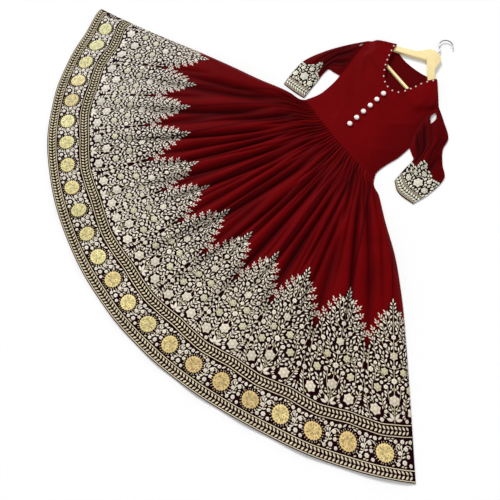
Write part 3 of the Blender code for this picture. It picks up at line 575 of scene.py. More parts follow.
def pleats(across, down, radius):
    """How much of the puff is left between the small pleats that start at the waist seam."""
    draw = np.random.default_rng(7)
    left = np.ones_like(across)
    span = radians(HEM_SPAN[1] - HEM_SPAN[0])
    for number in range(GATHERS):
        line = (number + draw.uniform(-0.2, 0.2)) / GATHERS
        depth = draw.uniform(*PLEAT_DEPTH)
        length = draw.uniform(*PLEAT_LENGTH)
        width = draw.uniform(*PLEAT_WIDTH)
        spread = width * (1.0 + 2.0 * down / length)
        aside = np.abs(across - line) * span * radius * 0.8 / spread
        fade = 1.0 - smooth_step(0.25 * length, 1.2 * length, down)
        left = left * (1.0 - depth * fade * np.exp(-aside ** FOLD_SHARPNESS))
    return left


def unfolded(across, angle, radius, top):
    """How much of the skirt's puff its folds, creases and pleats leave, 0 to 1."""
    left = pleats(across, radius - top, radius)
    for fold in FOLDS + CREASES + VALLEYS:
        left = left * (1.0 - trough(fold, angle, radius))
    return left


def skirt_height(across, angle, radius, top):
    """Height of the skirt front's underside above the surface it lies on."""
    down = radius - top
    puff = follow(column_of(SKIRT_PUFF, "down"), column_of(SKIRT_PUFF, "height"), down)
    puff = puff * unfolded(across, angle, radius, top)
    phase = across * GATHERS * 2 * pi
    uneven = 1.0 + GATHER_UNEVEN * np.sin(across * GATHER_WAVES[0]) * np.sin(across * GATHER_WAVES[1] + 1.0)
    length = GATHER_LENGTH * uneven
    fade = 1.0 - smooth_step(0.0, 1.0, (down / length - GATHER_FADE[0]) / (GATHER_FADE[1] - GATHER_FADE[0]))
    gather = GATHER_HEIGHT * uneven * fade * (0.5 - 0.5 * np.cos(phase))
    wave_fade = smooth_step(HEM_WAVE_START[0], HEM_WAVE_START[1], down)
    drift = 2.0 * np.sin(across * HEM_WAVE_DRIFT)
    wave = HEM_WAVE * wave_fade * (1.0 + np.sin(across * HEM_WAVES * 2 * pi + drift))
    edge = np.minimum(across, 1.0 - across) * radians(HEM_SPAN[1] - HEM_SPAN[0]) * radius
    roll = smooth_step(-SKIRT_EDGE_TUCK, SKIRT_EDGE_ROLL, edge) ** SKIRT_EDGE_ROUND
    return LAYER + (puff + gather + wave) * roll


def hanger_place(x, y):
    """Plan point of the hanger's own frame, whose origin is the middle of the yoke."""
    turn = radians(HANGER_TURN)
    return HANGER_CENTRE + np.array([x * cos(turn) - y * sin(turn), x * sin(turn) + y * cos(turn)])


def arm_lift(points, side):
    """0 to 1, how much an arm of the hanger lifts the cloth above plan points."""
    slope = radians(ARM_SLOPE)
    origin = hanger_place(0.0, 0.0)
    tip = hanger_place(side * ARM_LENGTH * cos(slope), -ARM_LENGTH * sin(slope))
    along = (tip - origin) / np.linalg.norm(tip - origin)
    outward = np.array([-along[1], along[0]]) * side
    offset = points - origin
    run = offset @ along
    rise = offset @ outward
    half = mix(ARM_WIDTH, ARM_TIP_WIDTH, np.clip(run / ARM_LENGTH, 0.0, 1.0)) / 2
    tip_clear = ARM_LENGTH + ARM_TIP_WIDTH / 2 + TIP_MARGIN
    past_tip = smooth_step(tip_clear, tip_clear + TIP_FALL, run)
    outer = smooth_step(0.0, ARM_FALL_OUT, rise - half - ARM_EDGE_MARGIN)
    inner = smooth_step(0.0, ARM_FALL_IN, -rise - half - ARM_MARGIN)
    return (1.0 - np.where(rise > 0, outer, inner)) * (1.0 - past_tip)


def bar_reach():
    """Half the bar's length: it ends just inside the arms' tips."""
    return ARM_LENGTH * cos(radians(ARM_SLOPE)) - 0.5 * ARM_TIP_WIDTH - GAP


def bar_lift(points):
    """0 to 1, how much the hanger's bar lifts the cloth above plan points."""
    left = hanger_place(-bar_reach(), -BAR_DROP)
    right = hanger_place(bar_reach(), -BAR_DROP)
    length = np.linalg.norm(right - left)
    along = (right - left) / length
    offset = points - left
    aside = np.abs(offset[..., 0] * along[1] - offset[..., 1] * along[0])
    fall = smooth_step(BAR_WIDTH / 2 + BAR_MARGIN, BAR_WIDTH / 2 + BAR_MARGIN + BAR_FALL, aside)
    run = offset @ along
    out, inside = BAR_END_FALL
    return (1.0 - fall) * smooth_step(-out, -inside, run) * (1.0 - smooth_step(-inside, out, run - length))


def creases(points, table):
    """Height that soft creases add at plan points."""
    height = np.zeros(points.shape[:-1])
    for crease in table:
        start = np.array(crease.start)
        reach = np.array(crease.end) - start
        share = ((points - start) @ reach) / (reach @ reach)
        nearest = start + np.clip(share, 0.0, 1.0)[..., None] * reach
        aside = np.linalg.norm(points - nearest, axis=-1) / crease.width
        along = smooth_step(-0.25, 0.30, share) * (1.0 - smooth_step(0.55, 1.2, share))
        height = height + crease.height * along * np.exp(-aside ** 2)
    return height


def bodice_height(points):
    """Height of the bodice front's underside above the surface it lies on."""
    over_arm = WOOD_BASE + WOOD + GAP - LAYER
    over_bar = WOOD_BASE + BAR_THICK + GAP - LAYER
    arm = np.maximum(arm_lift(points, -1), arm_lift(points, 1))
    bar = bar_lift(points)
    lift = ((over_arm * arm) ** LIFT_POWER + (over_bar * bar) ** LIFT_POWER) ** (1 / LIFT_POWER)
    ease = BODICE_EASE * (1.0 + np.sin(points[..., 0] * EASE_WAVES[0] + points[..., 1] * EASE_WAVES[1]))
    extra = creases(points, BODICE_CREASES)
    return LAYER + BODICE_LOOSE + lift + np.maximum(ease + extra, 0.0)


def front_height(points, across, up):
    """The front comes down onto the back at its side seams and shoulder seams."""
    raised = bodice_height(points) - LAYER
    inward = np.minimum(across, 1.0 - across)
    side = np.maximum(smooth_step(SIDE_FALL[0], SIDE_FALL[1], inward), SIDE_LEAST)
    on_shoulder = inward < SHOULDER_SHARE + 1e-6
    seam = np.where(on_shoulder, np.maximum(smooth_step(0.0, SHOULDER_FALL, 1.0 - up), SHOULDER_LEAST), 1.0)
    return LAYER + raised * side * seam


def bodice_spot(neck, across, up, shift):
    """Plan places on a bodice panel, 0 to 1 across and 0 to 1 from waist to shoulder."""
    def seam(share):
        return waist_point(share, shift)
    rest = chain(curve(neck), curve(SHOULDER_RIGHT), (1.0 - 2 * SHOULDER_SHARE) / (1.0 - SHOULDER_SHARE))
    top = chain(curve(SHOULDER_LEFT), rest, SHOULDER_SHARE)
    left_side = curve([tuple(seam(0.0))] + BODICE_LEFT_SIDE[1:])
    right_side = curve([tuple(seam(1.0))] + BODICE_RIGHT_SIDE[1:])
    left = chain(left_side, curve(ARMHOLE_LEFT), 1.0 - ARMHOLE_SHARE)
    right = chain(right_side, curve(ARMHOLE_RIGHT), 1.0 - ARMHOLE_SHARE)
    return patch(seam, top, left, right, across, up)


def sleeve_spot(sleeve, across, down, shift):
    armhole = ARMHOLE_LEFT if sleeve.side < 0 else ARMHOLE_RIGHT
    top = np.array(armhole) + np.array([sleeve.side * shift, 0.0])
    inner = [tuple(top[0])] + sleeve.inner[1:]
    outer = [tuple(top[-1])] + sleeve.outer[1:]
    return patch(curve(top), curve(sleeve.opening), curve(inner), curve(outer), across, down)


def sleeve_unfolded(sleeve, across, down):
    """How much of a sleeve's puff its folds leave, 0 to 1."""
    left = np.ones_like(across)
    for fold in sleeve.folds + sleeve.creases:
        share = (down - fold.start) / (fold.end - fold.start)
        line = mix(fold.across_top, fold.across_low, np.clip(share, 0.0, 1.0))
        aside = np.abs(across - line) * SLEEVE_ACROSS / fold.width
        fade = smooth_step(SLEEVE_FOLD_RISE[0], SLEEVE_FOLD_RISE[1], share)
        fade = fade * (1.0 - smooth_step(SLEEVE_FOLD_FALL[0], SLEEVE_FOLD_FALL[1], share))
        left = left * (1.0 - fold.depth * fade * np.exp(-aside ** FOLD_SHARPNESS))
    return left


def sleeve_height(sleeve, across, down):
    puff = mix(SLEEVE_PUFF, CUFF_PUFF, smooth_step(CUFF_BLEND[0], CUFF_BLEND[1], down))
    puff = puff * smooth_step(SLEEVE_HEAD[0], SLEEVE_HEAD[1], down)
    puff = puff * (1.0 - OPENING_FLATTEN * smooth_step(OPENING_FALL[0], OPENING_FALL[1], down))
    puff = puff * sleeve_unfolded(sleeve, across, down)
    roll = smooth_step(SLEEVE_ROLL[0], SLEEVE_ROLL[1], np.minimum(across, 1.0 - across)) ** SLEEVE_ROUND
    return LAYER + puff * roll


def normals_of(points):
    """Upward normals of a grid of points."""
    normal = np.cross(np.gradient(points, axis=1), np.gradient(points, axis=0))
    normal = normal / np.linalg.norm(normal, axis=-1, keepdims=True)
    return normal * np.sign(normal[..., 2:3])


def grid_of(columns, rows):
    """Across and down shares of every point of a grid, rows first."""
    return np.meshgrid(np.asarray(columns, float), np.asarray(rows, float))


def upright(faces, points):
    """The same faces, turned over if the first of them looks down."""
    a, b, c = (points[i] for i in faces[0][:3])
    if np.cross(b - a, c - a)[2] < 0:
        return [face[::-1] for face in faces]
    return faces


def grid_faces(rows, columns, offset=0):
    start = np.arange(rows - 1)[:, None] * columns + np.arange(columns - 1)[None, :] + offset
    start = start.ravel()
    return np.stack([start, start + 1, start + columns + 1, start + columns], axis=1).tolist()


def rim_faces(rows, columns, skip):
    """Faces that close the rim between a top grid and a lower grid that has every skip-th row."""
    low_rows = (rows - 1) // skip + 1
    low = rows * columns
    faces = []
    for i in range(columns - 1):
        faces.append([i, low + i, low + i + 1, i + 1])
        last = (rows - 1) * columns + i
        low_last = low + (low_rows - 1) * columns + i
        faces.append([last + 1, low_last + 1, low_last, last])
    for j in range(low_rows - 1):
        for side, turn in ((0, 1), (columns - 1, -1)):
            tops = [(j * skip + step) * columns + side for step in range(skip + 1)]
            lows = [low + j * columns + side, low + (j + 1) * columns + side]
            faces.append((tops + lows[::-1])[::turn])
    return faces


def fold_shade(left):
    """How much painted shade darkens the cloth, from the share of its puff that folds leave."""
    return np.clip(1.0 - left, 0.0, 1.0) ** FOLD_SHADE_POWER * FOLD_SHADE_MOST


def placed(name, data):
    """A new object of the scene."""
    made = bpy.data.objects.new(name, data)
    bpy.context.scene.collection.objects.link(made)
    return made


def new_piece(name, points, faces, material, slot):
    """A mesh piece in the part's frame, smooth and riding the one body."""
    mesh = bpy.data.meshes.new(name)
    mesh.from_pydata((np.asarray(points) + ORIGIN).tolist(), [], faces)
    mesh.validate()
    piece = placed(name, mesh)
    mesh.materials.append(material)
    mesh.polygons.foreach_set("use_smooth", [True] * len(mesh.polygons))
    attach(piece, "root")
    return piece


def set_colour(piece, name, colours):
    """Store a colour at every point of a mesh, for its material."""
    layer = piece.data.color_attributes.new(name, "FLOAT_COLOR", "POINT")
    full = np.ones((len(colours), 4))
    full[:, :3] = colours
    layer.data.foreach_set("color", full.ravel())


def set_share(piece, name, values):
    """Store a share at every point of a mesh, for its material."""
    layer = piece.data.attributes.new(name, "FLOAT", "POINT")
    layer.data.foreach_set("value", values)


def set_map(piece, coordinates):
    """Store the cloth's own coordinates, in metres, as the mesh's texture map."""
    layer = piece.data.uv_layers.new(name="cloth")
    corners = np.empty(len(piece.data.loops), dtype=np.int64)
    piece.data.loops.foreach_get("vertex_index", corners)
    layer.data.foreach_set("uv", np.asarray(coordinates)[corners].ravel())


def cloth_coordinates(points):
    """Distances along the cloth from its middle column and its first row."""
    across = np.linalg.norm(np.diff(points, axis=1), axis=-1)
    down = np.linalg.norm(np.diff(points, axis=0), axis=-1)
    across = np.concatenate([np.zeros((points.shape[0], 1)), np.cumsum(across, axis=1)], axis=1)
    down = np.concatenate([np.zeros((1, points.shape[1])), np.cumsum(down, axis=0)], axis=0)
    return across - across[:, -1:] / 2, down


def make_shell(name, under, material, skip=1, ground=None, depth=None):
    """A closed sheet of cloth, one wall thick, whose underside is a grid of points."""
    rows, columns = under.shape[:2]
    top = under + normals_of(under) * WALL
    low = under[::skip]
    points = np.concatenate([top.reshape(-1, 3), low.reshape(-1, 3)])
    faces = upright(grid_faces(rows, columns), points)
    lower = [face[::-1] for face in upright(grid_faces(low.shape[0], columns, rows * columns), points)]
    rim = rim_faces(rows, columns, skip)
    piece = new_piece(name, points, faces + lower + rim, material, "maroon_cloth")
    mesh = piece.data
    mesh.update()
    flat = [np.concatenate([way.ravel(), way[::skip].ravel()]) for way in cloth_coordinates(top)]
    set_map(piece, np.stack(flat, axis=1))
    # Painted shade shares for the material, on the top surface only: among the embroidery and in the folds
    for layer, shade in (("ground", ground), ("depth", depth)):
        shade = np.zeros((rows, columns)) if shade is None else shade
        set_share(piece, layer, np.concatenate([shade.ravel(), np.zeros(low.shape[0] * columns)]))
    return piece, top


def close_normals(piece):
    """Turn every face outwards, and keep the rim's edges crisp."""
    shape = bmesh.new()
    shape.from_mesh(piece.data)
    bmesh.ops.recalc_face_normals(shape, faces=shape.faces)
    shape.to_mesh(piece.data)
    shape.free()
    piece.data.set_sharp_from_angle(angle=radians(RIM_SHARP))


def bilinear(grid, first, second):
    """Values of a grid at places given as whole and part steps along its two axes."""
    first = np.clip(first, 0.0, grid.shape[0] - 1.000001)
    second = np.clip(second, 0.0, grid.shape[1] - 1.000001)
    i = first.astype(int)
    j = second.astype(int)
    a = first - i
    b = second - j
    if grid.ndim > 2:
        a = a[..., None]
        b = b[..., None]
    near = grid[i, j] * (1 - b) + grid[i, j + 1] * b
    far = grid[i + 1, j] * (1 - b) + grid[i + 1, j + 1] * b
    return near * (1 - a) + far * a


class Drawing:
    """A cloth's surface with the two coordinates that its pattern is drawn in.

    The first coordinate grows with the grid's columns, the second with or against its rows.
    """

    samples = 1600
    rounds = 5
    tolerance = 0.0015

    def __init__(self, top, first, second, metres_per_first, depth):
        # Painted shade: the thread darkens where the cloth's painted fold shade does
        self.light = 1.0 - THREAD_FOLD_SHADE * depth
        self.top = top
        self.normal = normals_of(top)
        self.first = first
        self.second = second
        self.metres_per_first = metres_per_first
        rows, columns = first.shape
        self.first_range = (first.min(), first.max())
        self.second_range = (second.min(), second.max())
        places = np.linspace(*self.first_range, self.samples)
        self.column_at = np.stack([np.interp(places, row, np.arange(columns)) for row in first])
        places = np.linspace(*self.second_range, self.samples)
        order = slice(None, None, -1) if second[0, 0] > second[-1, 0] else slice(None)
        steps = np.arange(rows)[order]
        self.row_at = np.stack([np.interp(places, column[order], steps) for column in second.T])

    def sample(self, value, span):
        """Where a coordinate lies among the samples of its span."""
        return (value - span[0]) / (span[1] - span[0]) * (self.samples - 1)

    def find(self, first, second):
        """Row and column of pattern places, and whether they are on the cloth."""
        one = self.sample(first, self.first_range)
        two = self.sample(second, self.second_range)
        row = np.full(np.shape(first), len(self.first) / 2.0)
        for _ in range(self.rounds):
            column = bilinear(self.column_at, row, one)
            row = bilinear(self.row_at, column, two)
        aside = np.abs(bilinear(self.first, row, column) - first)
        aside = aside * self.metres_per_first(second, first)
        along = np.abs(bilinear(self.second, row, column) - second)
        return row, column, (aside < self.tolerance) & (along < self.tolerance)

    def lay(self, first, second, lift):
        """Points raised off the cloth, whether they are on it, and how light it is there."""
        row, column, inside = self.find(first, second)
        place = bilinear(self.top, row, column)
        normal = bilinear(self.normal, row, column)
        return place + normal * lift[..., None], inside, bilinear(self.light, row, column)


# Each point's share of colour: painted shade by the motif's relief, and on a medallion its speckle too
Motif = namedtuple("Motif", "points faces shades")


def fan(count, start, centre):
    return [[start + i, start + (i + 1) % count, centre] for i in range(count)]


def leaf_motif():
    """A pointed leaf along +X, one long and one wide, with a rounded back."""
    side = [(-0.27, 0.36), (0.02, 0.50), (0.30, 0.30)]
    rim = [(-0.5, 0.0)] + [(x, -y) for x, y in side] + [(0.5, 0.0)] + side[::-1]
    points = [(x, y, -0.3) for x, y in rim] + [(-0.2, 0.0, 1.0), (0.2, 0.0, 0.9)]
    faces = [[0, 1, 8], [1, 2, 8], [2, 9, 8], [2, 3, 9], [3, 4, 9],
             [4, 5, 9], [5, 6, 9], [6, 8, 9], [6, 7, 8], [7, 0, 8]]
    # Painted shade: the sunk rim darker than the raised middle
    shades = np.array([0.72] * 8 + [1.0, 1.0])
    return Motif(np.array(points), faces, shades)


def flower_motif(petals, notch):
    """A flower one wide: raised petals round a lower middle."""
    rim = []
    for i in range(2 * petals):
        turn = pi * i / petals
        reach = 0.5 if i % 2 == 0 else 0.5 * notch
        rim.append((reach * cos(turn), reach * sin(turn), -0.3))
    ring = []
    for i in range(petals):
        turn = 2 * pi * i / petals
        ring.append((0.27 * cos(turn), 0.27 * sin(turn), 1.0))
    points = rim + ring + [(0.0, 0.0, 0.35)]
    faces = []
    for i in range(petals):
        tip, after, nxt = 2 * i, 2 * i + 1, (2 * i + 2) % (2 * petals)
        near, far = 2 * petals + i, 2 * petals + (i + 1) % petals
        faces += [[tip, after, near], [after, nxt, far], [after, far, near]]
    faces += fan(petals, 2 * petals, 3 * petals)
    # Painted shade: the sunk rim darker than the raised petals, the lower middle darker still
    return Motif(np.array(points), faces, np.array([0.72] * (2 * petals) + [1.0] * petals + [0.5]))


def star_motif(petals):
    """A large flower one wide: ridged pointed petals, valleys between them and a round middle."""
    points = []
    for i in range(2 * petals):
        turn = pi * i / petals
        reach = 0.5 if i % 2 == 0 else 0.40
        points.append((reach * cos(turn), reach * sin(turn), -0.3))
    for i in range(2 * petals):
        turn = pi * i / petals
        reach, height = (0.35, 1.0) if i % 2 == 0 else (0.30, 0.40)
        points.append((reach * cos(turn), reach * sin(turn), height))
    for i in range(2 * petals):
        turn = pi * i / petals
        points.append((0.15 * cos(turn), 0.15 * sin(turn), 0.45))
    for i in range(2 * petals):
        turn = pi * i / petals
        points.append((0.11 * cos(turn), 0.11 * sin(turn), 1.0))
    points.append((0.0, 0.0, 1.15))
    # Painted shade: the rim and the valleys between the petals darker than the ridges, and a darker low ring round
    # the raised middle
    shades = [0.85, 0.60] * petals + [1.0, 0.72] * petals
    shades += [0.62] * (2 * petals) + [1.0] * (2 * petals) + [0.8]
    return Motif(np.array(points), ring_faces(2 * petals, 4), np.array(shades))


def ring_faces(count, rings):
    """Faces of nested rings of points, and a middle point after the last."""
    faces = []
    for ring in range(rings - 1):
        for i in range(count):
            a = ring * count + i
            b = ring * count + (i + 1) % count
            faces.append([a, b, b + count, a + count])
    return faces + fan(count, (rings - 1) * count, rings * count)


COIN_RINGS = (0.405, 0.335, 0.265, 0.195, 0.125, 0.060)


def coin_motif(teeth):
    """A round medallion one wide: a toothed rim round rings of small raised grains."""
    draw = np.random.default_rng(3)
    points = []
    shades = []
    # Painted shade: the notches between the teeth darker; each grain's colour follows its height, a random speckle
    # with the lower grains painted darker
    for i in range(2 * teeth):
        turn = pi * i / teeth
        reach, shade = (0.5, 1.0) if i % 2 == 0 else (0.445, 0.52)
        points.append((reach * cos(turn), reach * sin(turn), -0.2))
        shades.append(shade)
    for number, reach in enumerate(COIN_RINGS):
        for i in range(2 * teeth):
            turn = pi * i / teeth
            grain = float(smooth_step(0.2, 0.8, draw.uniform(0.0, 1.0))) if number else 0.8
            points.append((reach * cos(turn), reach * sin(turn), 0.45 + 0.55 * grain))
            shades.append(0.36 + 0.98 * grain)
    points.append((0.0, 0.0, 1.0))
    return Motif(np.array(points), ring_faces(2 * teeth, len(COIN_RINGS) + 1), np.array(shades + [1.0]))


LEAF = leaf_motif()
SMALL_FLOWER = flower_motif(5, 0.78)
ROUND_FLOWER = flower_motif(6, 0.82)
STAR = star_motif(6)
COIN = coin_motif(20)

# One motif laid on a cloth: its place there, size, turn from the first coordinate, height, colour
Stitch = namedtuple("Stitch", "motif first second length width turn lift colour")


class Embroidery:
    """Raised motifs and lines of thread, gathered into one mesh."""

    def __init__(self):
        self.points = []
        self.faces = []
        self.colours = []
        self.maps = []
        self.count = 0

    def keep(self, points, faces, colours, maps):
        self.points.append(points)
        self.faces.extend(faces)
        self.colours.append(colours)
        self.maps.append(maps)
        self.count += len(points)

    def stitch(self, drawing, stitches):
        """Lay motifs, cut off where the cloth ends."""
        kinds = {id(row.motif): row.motif for row in stitches}
        for key, motif in kinds.items():
            rows = [row for row in stitches if id(row.motif) == key]
            numbers = np.array([(r.first, r.second, r.length, r.width, r.turn, r.lift) for r in rows])
            colours = np.array([r.colour for r in rows])
            shape = motif.points
            along = shape[None, :, 0] * numbers[:, 2:3]
            aside = shape[None, :, 1] * numbers[:, 3:4]
            turn_cos, turn_sin = np.cos(numbers[:, 4:5]), np.sin(numbers[:, 4:5])
            scale = drawing.metres_per_first(numbers[:, 1], numbers[:, 0])[:, None]
            first = numbers[:, 0:1] + (along * turn_cos - aside * turn_sin) / scale
            second = numbers[:, 1:2] + along * turn_sin + aside * turn_cos
            lift = shape[None, :, 2] * numbers[:, 5:6]
            places, inside, light = drawing.lay(first, second, lift)
            faces = []
            for number, on_cloth in enumerate(inside):
                start = self.count + len(shape) * number
                whole = bool(on_cloth.all())
                kept = [face for face in motif.faces if whole or all(on_cloth[i] for i in face)]
                faces += [[start + i for i in face] for face in kept]
            maps = np.stack([along, np.broadcast_to(aside, along.shape)], axis=-1).reshape(-1, 2)
            # Painted shade: each point's shade in its motif, and the painted fold shade of the cloth under it
            shaded = colours[:, None] * motif.shades[None, :, None] * light[..., None]
            self.keep(places.reshape(-1, 3), faces, shaded.reshape(-1, 3), maps)

    def line(self, drawing, firsts, seconds, width, lift, colour):
        """A thread line with a rounded back through pattern places."""
        firsts, seconds = np.asarray(firsts, float), np.asarray(seconds, float)
        scale = drawing.metres_per_first(seconds, firsts)
        run = np.stack([np.gradient(firsts) * scale, np.gradient(seconds)], axis=1)
        run = run / np.linalg.norm(run, axis=1, keepdims=True)
        first = firsts[:, None] + np.array([-0.5, 0.0, 0.5]) * width * -run[:, 1:2] / scale[:, None]
        second = seconds[:, None] + np.array([-0.5, 0.0, 0.5]) * width * run[:, 0:1]
        heights = np.broadcast_to(np.array([-0.3, 1.0, -0.3]) * lift, first.shape)
        places, inside, light = drawing.lay(first, second, heights)
        good = inside.all(axis=1)
        faces = []
        for i in np.flatnonzero(good[:-1] & good[1:]):
            a = self.count + 3 * int(i)
            faces += [[a, a + 3, a + 4, a + 1], [a + 1, a + 4, a + 5, a + 2]]
        steps = np.hypot(np.diff(firsts) * scale[1:], np.diff(seconds))
        length = np.concatenate([[0.0], np.cumsum(steps)])
        across = np.array([-0.5, 0.0, 0.5]) * width
        maps = np.stack([np.repeat(length, 3), np.tile(across, len(length))], axis=1)
        # Painted fold shade of the cloth under the line
        self.keep(places.reshape(-1, 3), faces, colour * light.reshape(-1, 1), maps)

    def build(self, name, material):
        """The gathered mesh as a piece, without points that no face uses."""
        points = np.concatenate(self.points)
        colours = np.concatenate(self.colours)
        maps = np.concatenate(self.maps)
        used = np.zeros(len(points), bool)
        for face in self.faces:
            used[face] = True
        renumber = np.cumsum(used) - 1
        faces = [[int(renumber[i]) for i in face] for face in self.faces]
        piece = new_piece(name, points[used], faces, material, "maroon_cloth")
        # The thread colours carry the painted shade
        set_colour(piece, "thread", colours[used])
        set_map(piece, maps[used])
        return piece


class Plot:
    """Places taken so far by a layout, as discs in metres, so that nothing is laid on anything."""

    def __init__(self, clearance):
        self.x = np.zeros(0)
        self.y = np.zeros(0)
        self.radius = np.zeros(0)
        self.clearance = clearance

    def discs(self, motif, x, y, length, width, turn):
        if motif is not LEAF:
            return np.array([[x, y, length / 2]])
        steps = np.array([-0.33, -0.1, 0.12, 0.34]) * length
        halves = np.array([0.27, 0.45, 0.43, 0.22]) * width
        return np.stack([x + steps * cos(turn), y + steps * sin(turn), halves], axis=1)

    def free(self, discs):
        if not len(self.x):
            return True
        away = np.hypot(self.x[None] - discs[:, 0:1], self.y[None] - discs[:, 1:2])
        return bool((away > self.radius[None] + discs[:, 2:3] + self.clearance).all())

    def take(self, discs):
        self.x = np.concatenate([self.x, discs[:, 0]])
        self.y = np.concatenate([self.y, discs[:, 1]])
        self.radius = np.concatenate([self.radius, discs[:, 2]])


# A motif of a layout, in metres from the layout's own axis
Laid = namedtuple("Laid", "motif x y length width turn lift tone")


def fill_plot(plot, allowed, low, high, kinds, tries, draw, heading):
    """Throw motifs into what is left of an area, larger kinds first."""
    laid = []
    for motif, length, width, lift, tone, share in kinds:
        for _ in range(int(tries * share)):
            x, y = draw.uniform(low[0], high[0]), draw.uniform(low[1], high[1])
            scale = draw.uniform(0.88, 1.12)
            turn = heading(x, y) + draw.normal(0.0, 0.40) if motif is LEAF else draw.uniform(0.0, 2 * pi)
            discs = plot.discs(motif, x, y, length * scale, width * scale, turn)
            if allowed(discs) and plot.free(discs):
                plot.take(discs)
                laid.append(Laid(motif, x, y, length * scale, width * scale, turn, lift, tone))
    return laid


def tree_pitch(second):
    """Width of cloth from one tree's axis to the next, at a distance in from the hem."""
    share = (np.asarray(second, float) - TREE_BASE) / (TREE_TIP - TREE_BASE)
    return mix(TREE_PITCH[0], TREE_PITCH[1], share)


TREE_OUTLINE = [
    (0.0, 0.50), (TREE_VALLEY, 0.50), (0.385, 0.425), (0.42, 0.315), (0.455, 0.205), (0.49, 0.095),
    (0.525, 0.0),
]


def tree_half(second):
    """Half the width of a tree as a share of the pitch, at a distance in from the hem."""
    heights, halves = zip(*TREE_OUTLINE)
    return np.interp(second, heights, halves)


# Large motifs of half a tree: motif, place right of the axis, distance from the hem, size, tone
TREE_FLOWERS = [
    (STAR, 0.0, 0.216, 0.037, "star"),
    (STAR, 0.053, 0.184, 0.038, "star"),
    (STAR, 0.047, 0.247, 0.028, "green"),
    (ROUND_FLOWER, 0.0, 0.272, 0.021, "cream"),
    (STAR, 0.027, 0.298, 0.026, "green"),
    (ROUND_FLOWER, 0.066, 0.292, 0.019, "cream"),
    (ROUND_FLOWER, 0.024, 0.254, 0.016, "cream"),
    (STAR, 0.0, 0.345, 0.029, "star"),
    (ROUND_FLOWER, 0.047, 0.335, 0.018, "cream"),
    (ROUND_FLOWER, 0.024, 0.375, 0.016, "cream"),
    (ROUND_FLOWER, 0.0, 0.312, 0.015, "cream"),
    (ROUND_FLOWER, 0.0, 0.402, 0.018, "cream"),
    (ROUND_FLOWER, 0.079, 0.226, 0.018, "cream"),
    (ROUND_FLOWER, 0.024, 0.184, 0.013, "cream"),
]

# Curved branches of half a tree: start, bend and end, each right of the axis and in from the hem
TREE_BRANCHES = [
    ((0.004, 0.172), (0.036, 0.196), (0.034, 0.222)),
    ((0.004, 0.188), (0.020, 0.224), (0.018, 0.256)),
    ((0.066, 0.160), (0.080, 0.196), (0.084, 0.256)),
    ((0.058, 0.200), (0.066, 0.226), (0.060, 0.262)),
    ((0.004, 0.272), (0.040, 0.280), (0.042, 0.306)),
    ((0.072, 0.266), (0.076, 0.300), (0.070, 0.348)),
    ((0.054, 0.264), (0.050, 0.290), (0.058, 0.312)),
    ((0.004, 0.308), (0.030, 0.312), (0.030, 0.344)),
    ((0.034, 0.310), (0.060, 0.340), (0.056, 0.376)),
    ((0.004, 0.352), (0.034, 0.372), (0.040, 0.404)),
    ((0.003, 0.384), (0.026, 0.400), (0.030, 0.432)),
    ((0.003, 0.412), (0.018, 0.426), (0.020, 0.454)),
    ((0.002, 0.436), (0.012, 0.448), (0.013, 0.474)),
]


def bend(branch, share):
    """Place on a curved branch and the direction it runs in there."""
    start, middle, end = (np.array(point) for point in branch)
    place = start * (1 - share) ** 2 + middle * 2 * share * (1 - share) + end * share ** 2
    run = (middle - start) * (1 - share) + (end - middle) * share
    return place, atan2(run[1], run[0])


def leafy_branch(plot, branch, step, leaf, lift, tone, allowed):
    """Pairs of leaves along a branch, and one at its end, where there is room."""
    start, middle, end = (np.array(point) for point in branch)
    length = np.linalg.norm(middle - start) + np.linalg.norm(end - middle)
    count = max(2, int(length / step))
    laid = []
    for number in range(count + 1):
        place, run = bend(branch, number / count)
        sides = (0,) if number == count else (1, -1)
        for side in sides:
            turn = run + side * radians(48)
            x = place[0] + cos(turn) * leaf[0] * 0.56
            y = place[1] + sin(turn) * leaf[0] * 0.56
            discs = plot.discs(LEAF, x, y, leaf[0], leaf[1], turn)
            if allowed(discs) and plot.free(discs):
                plot.take(discs)
                laid.append(Laid(LEAF, x, y, leaf[0], leaf[1], turn, lift, tone))
    return laid


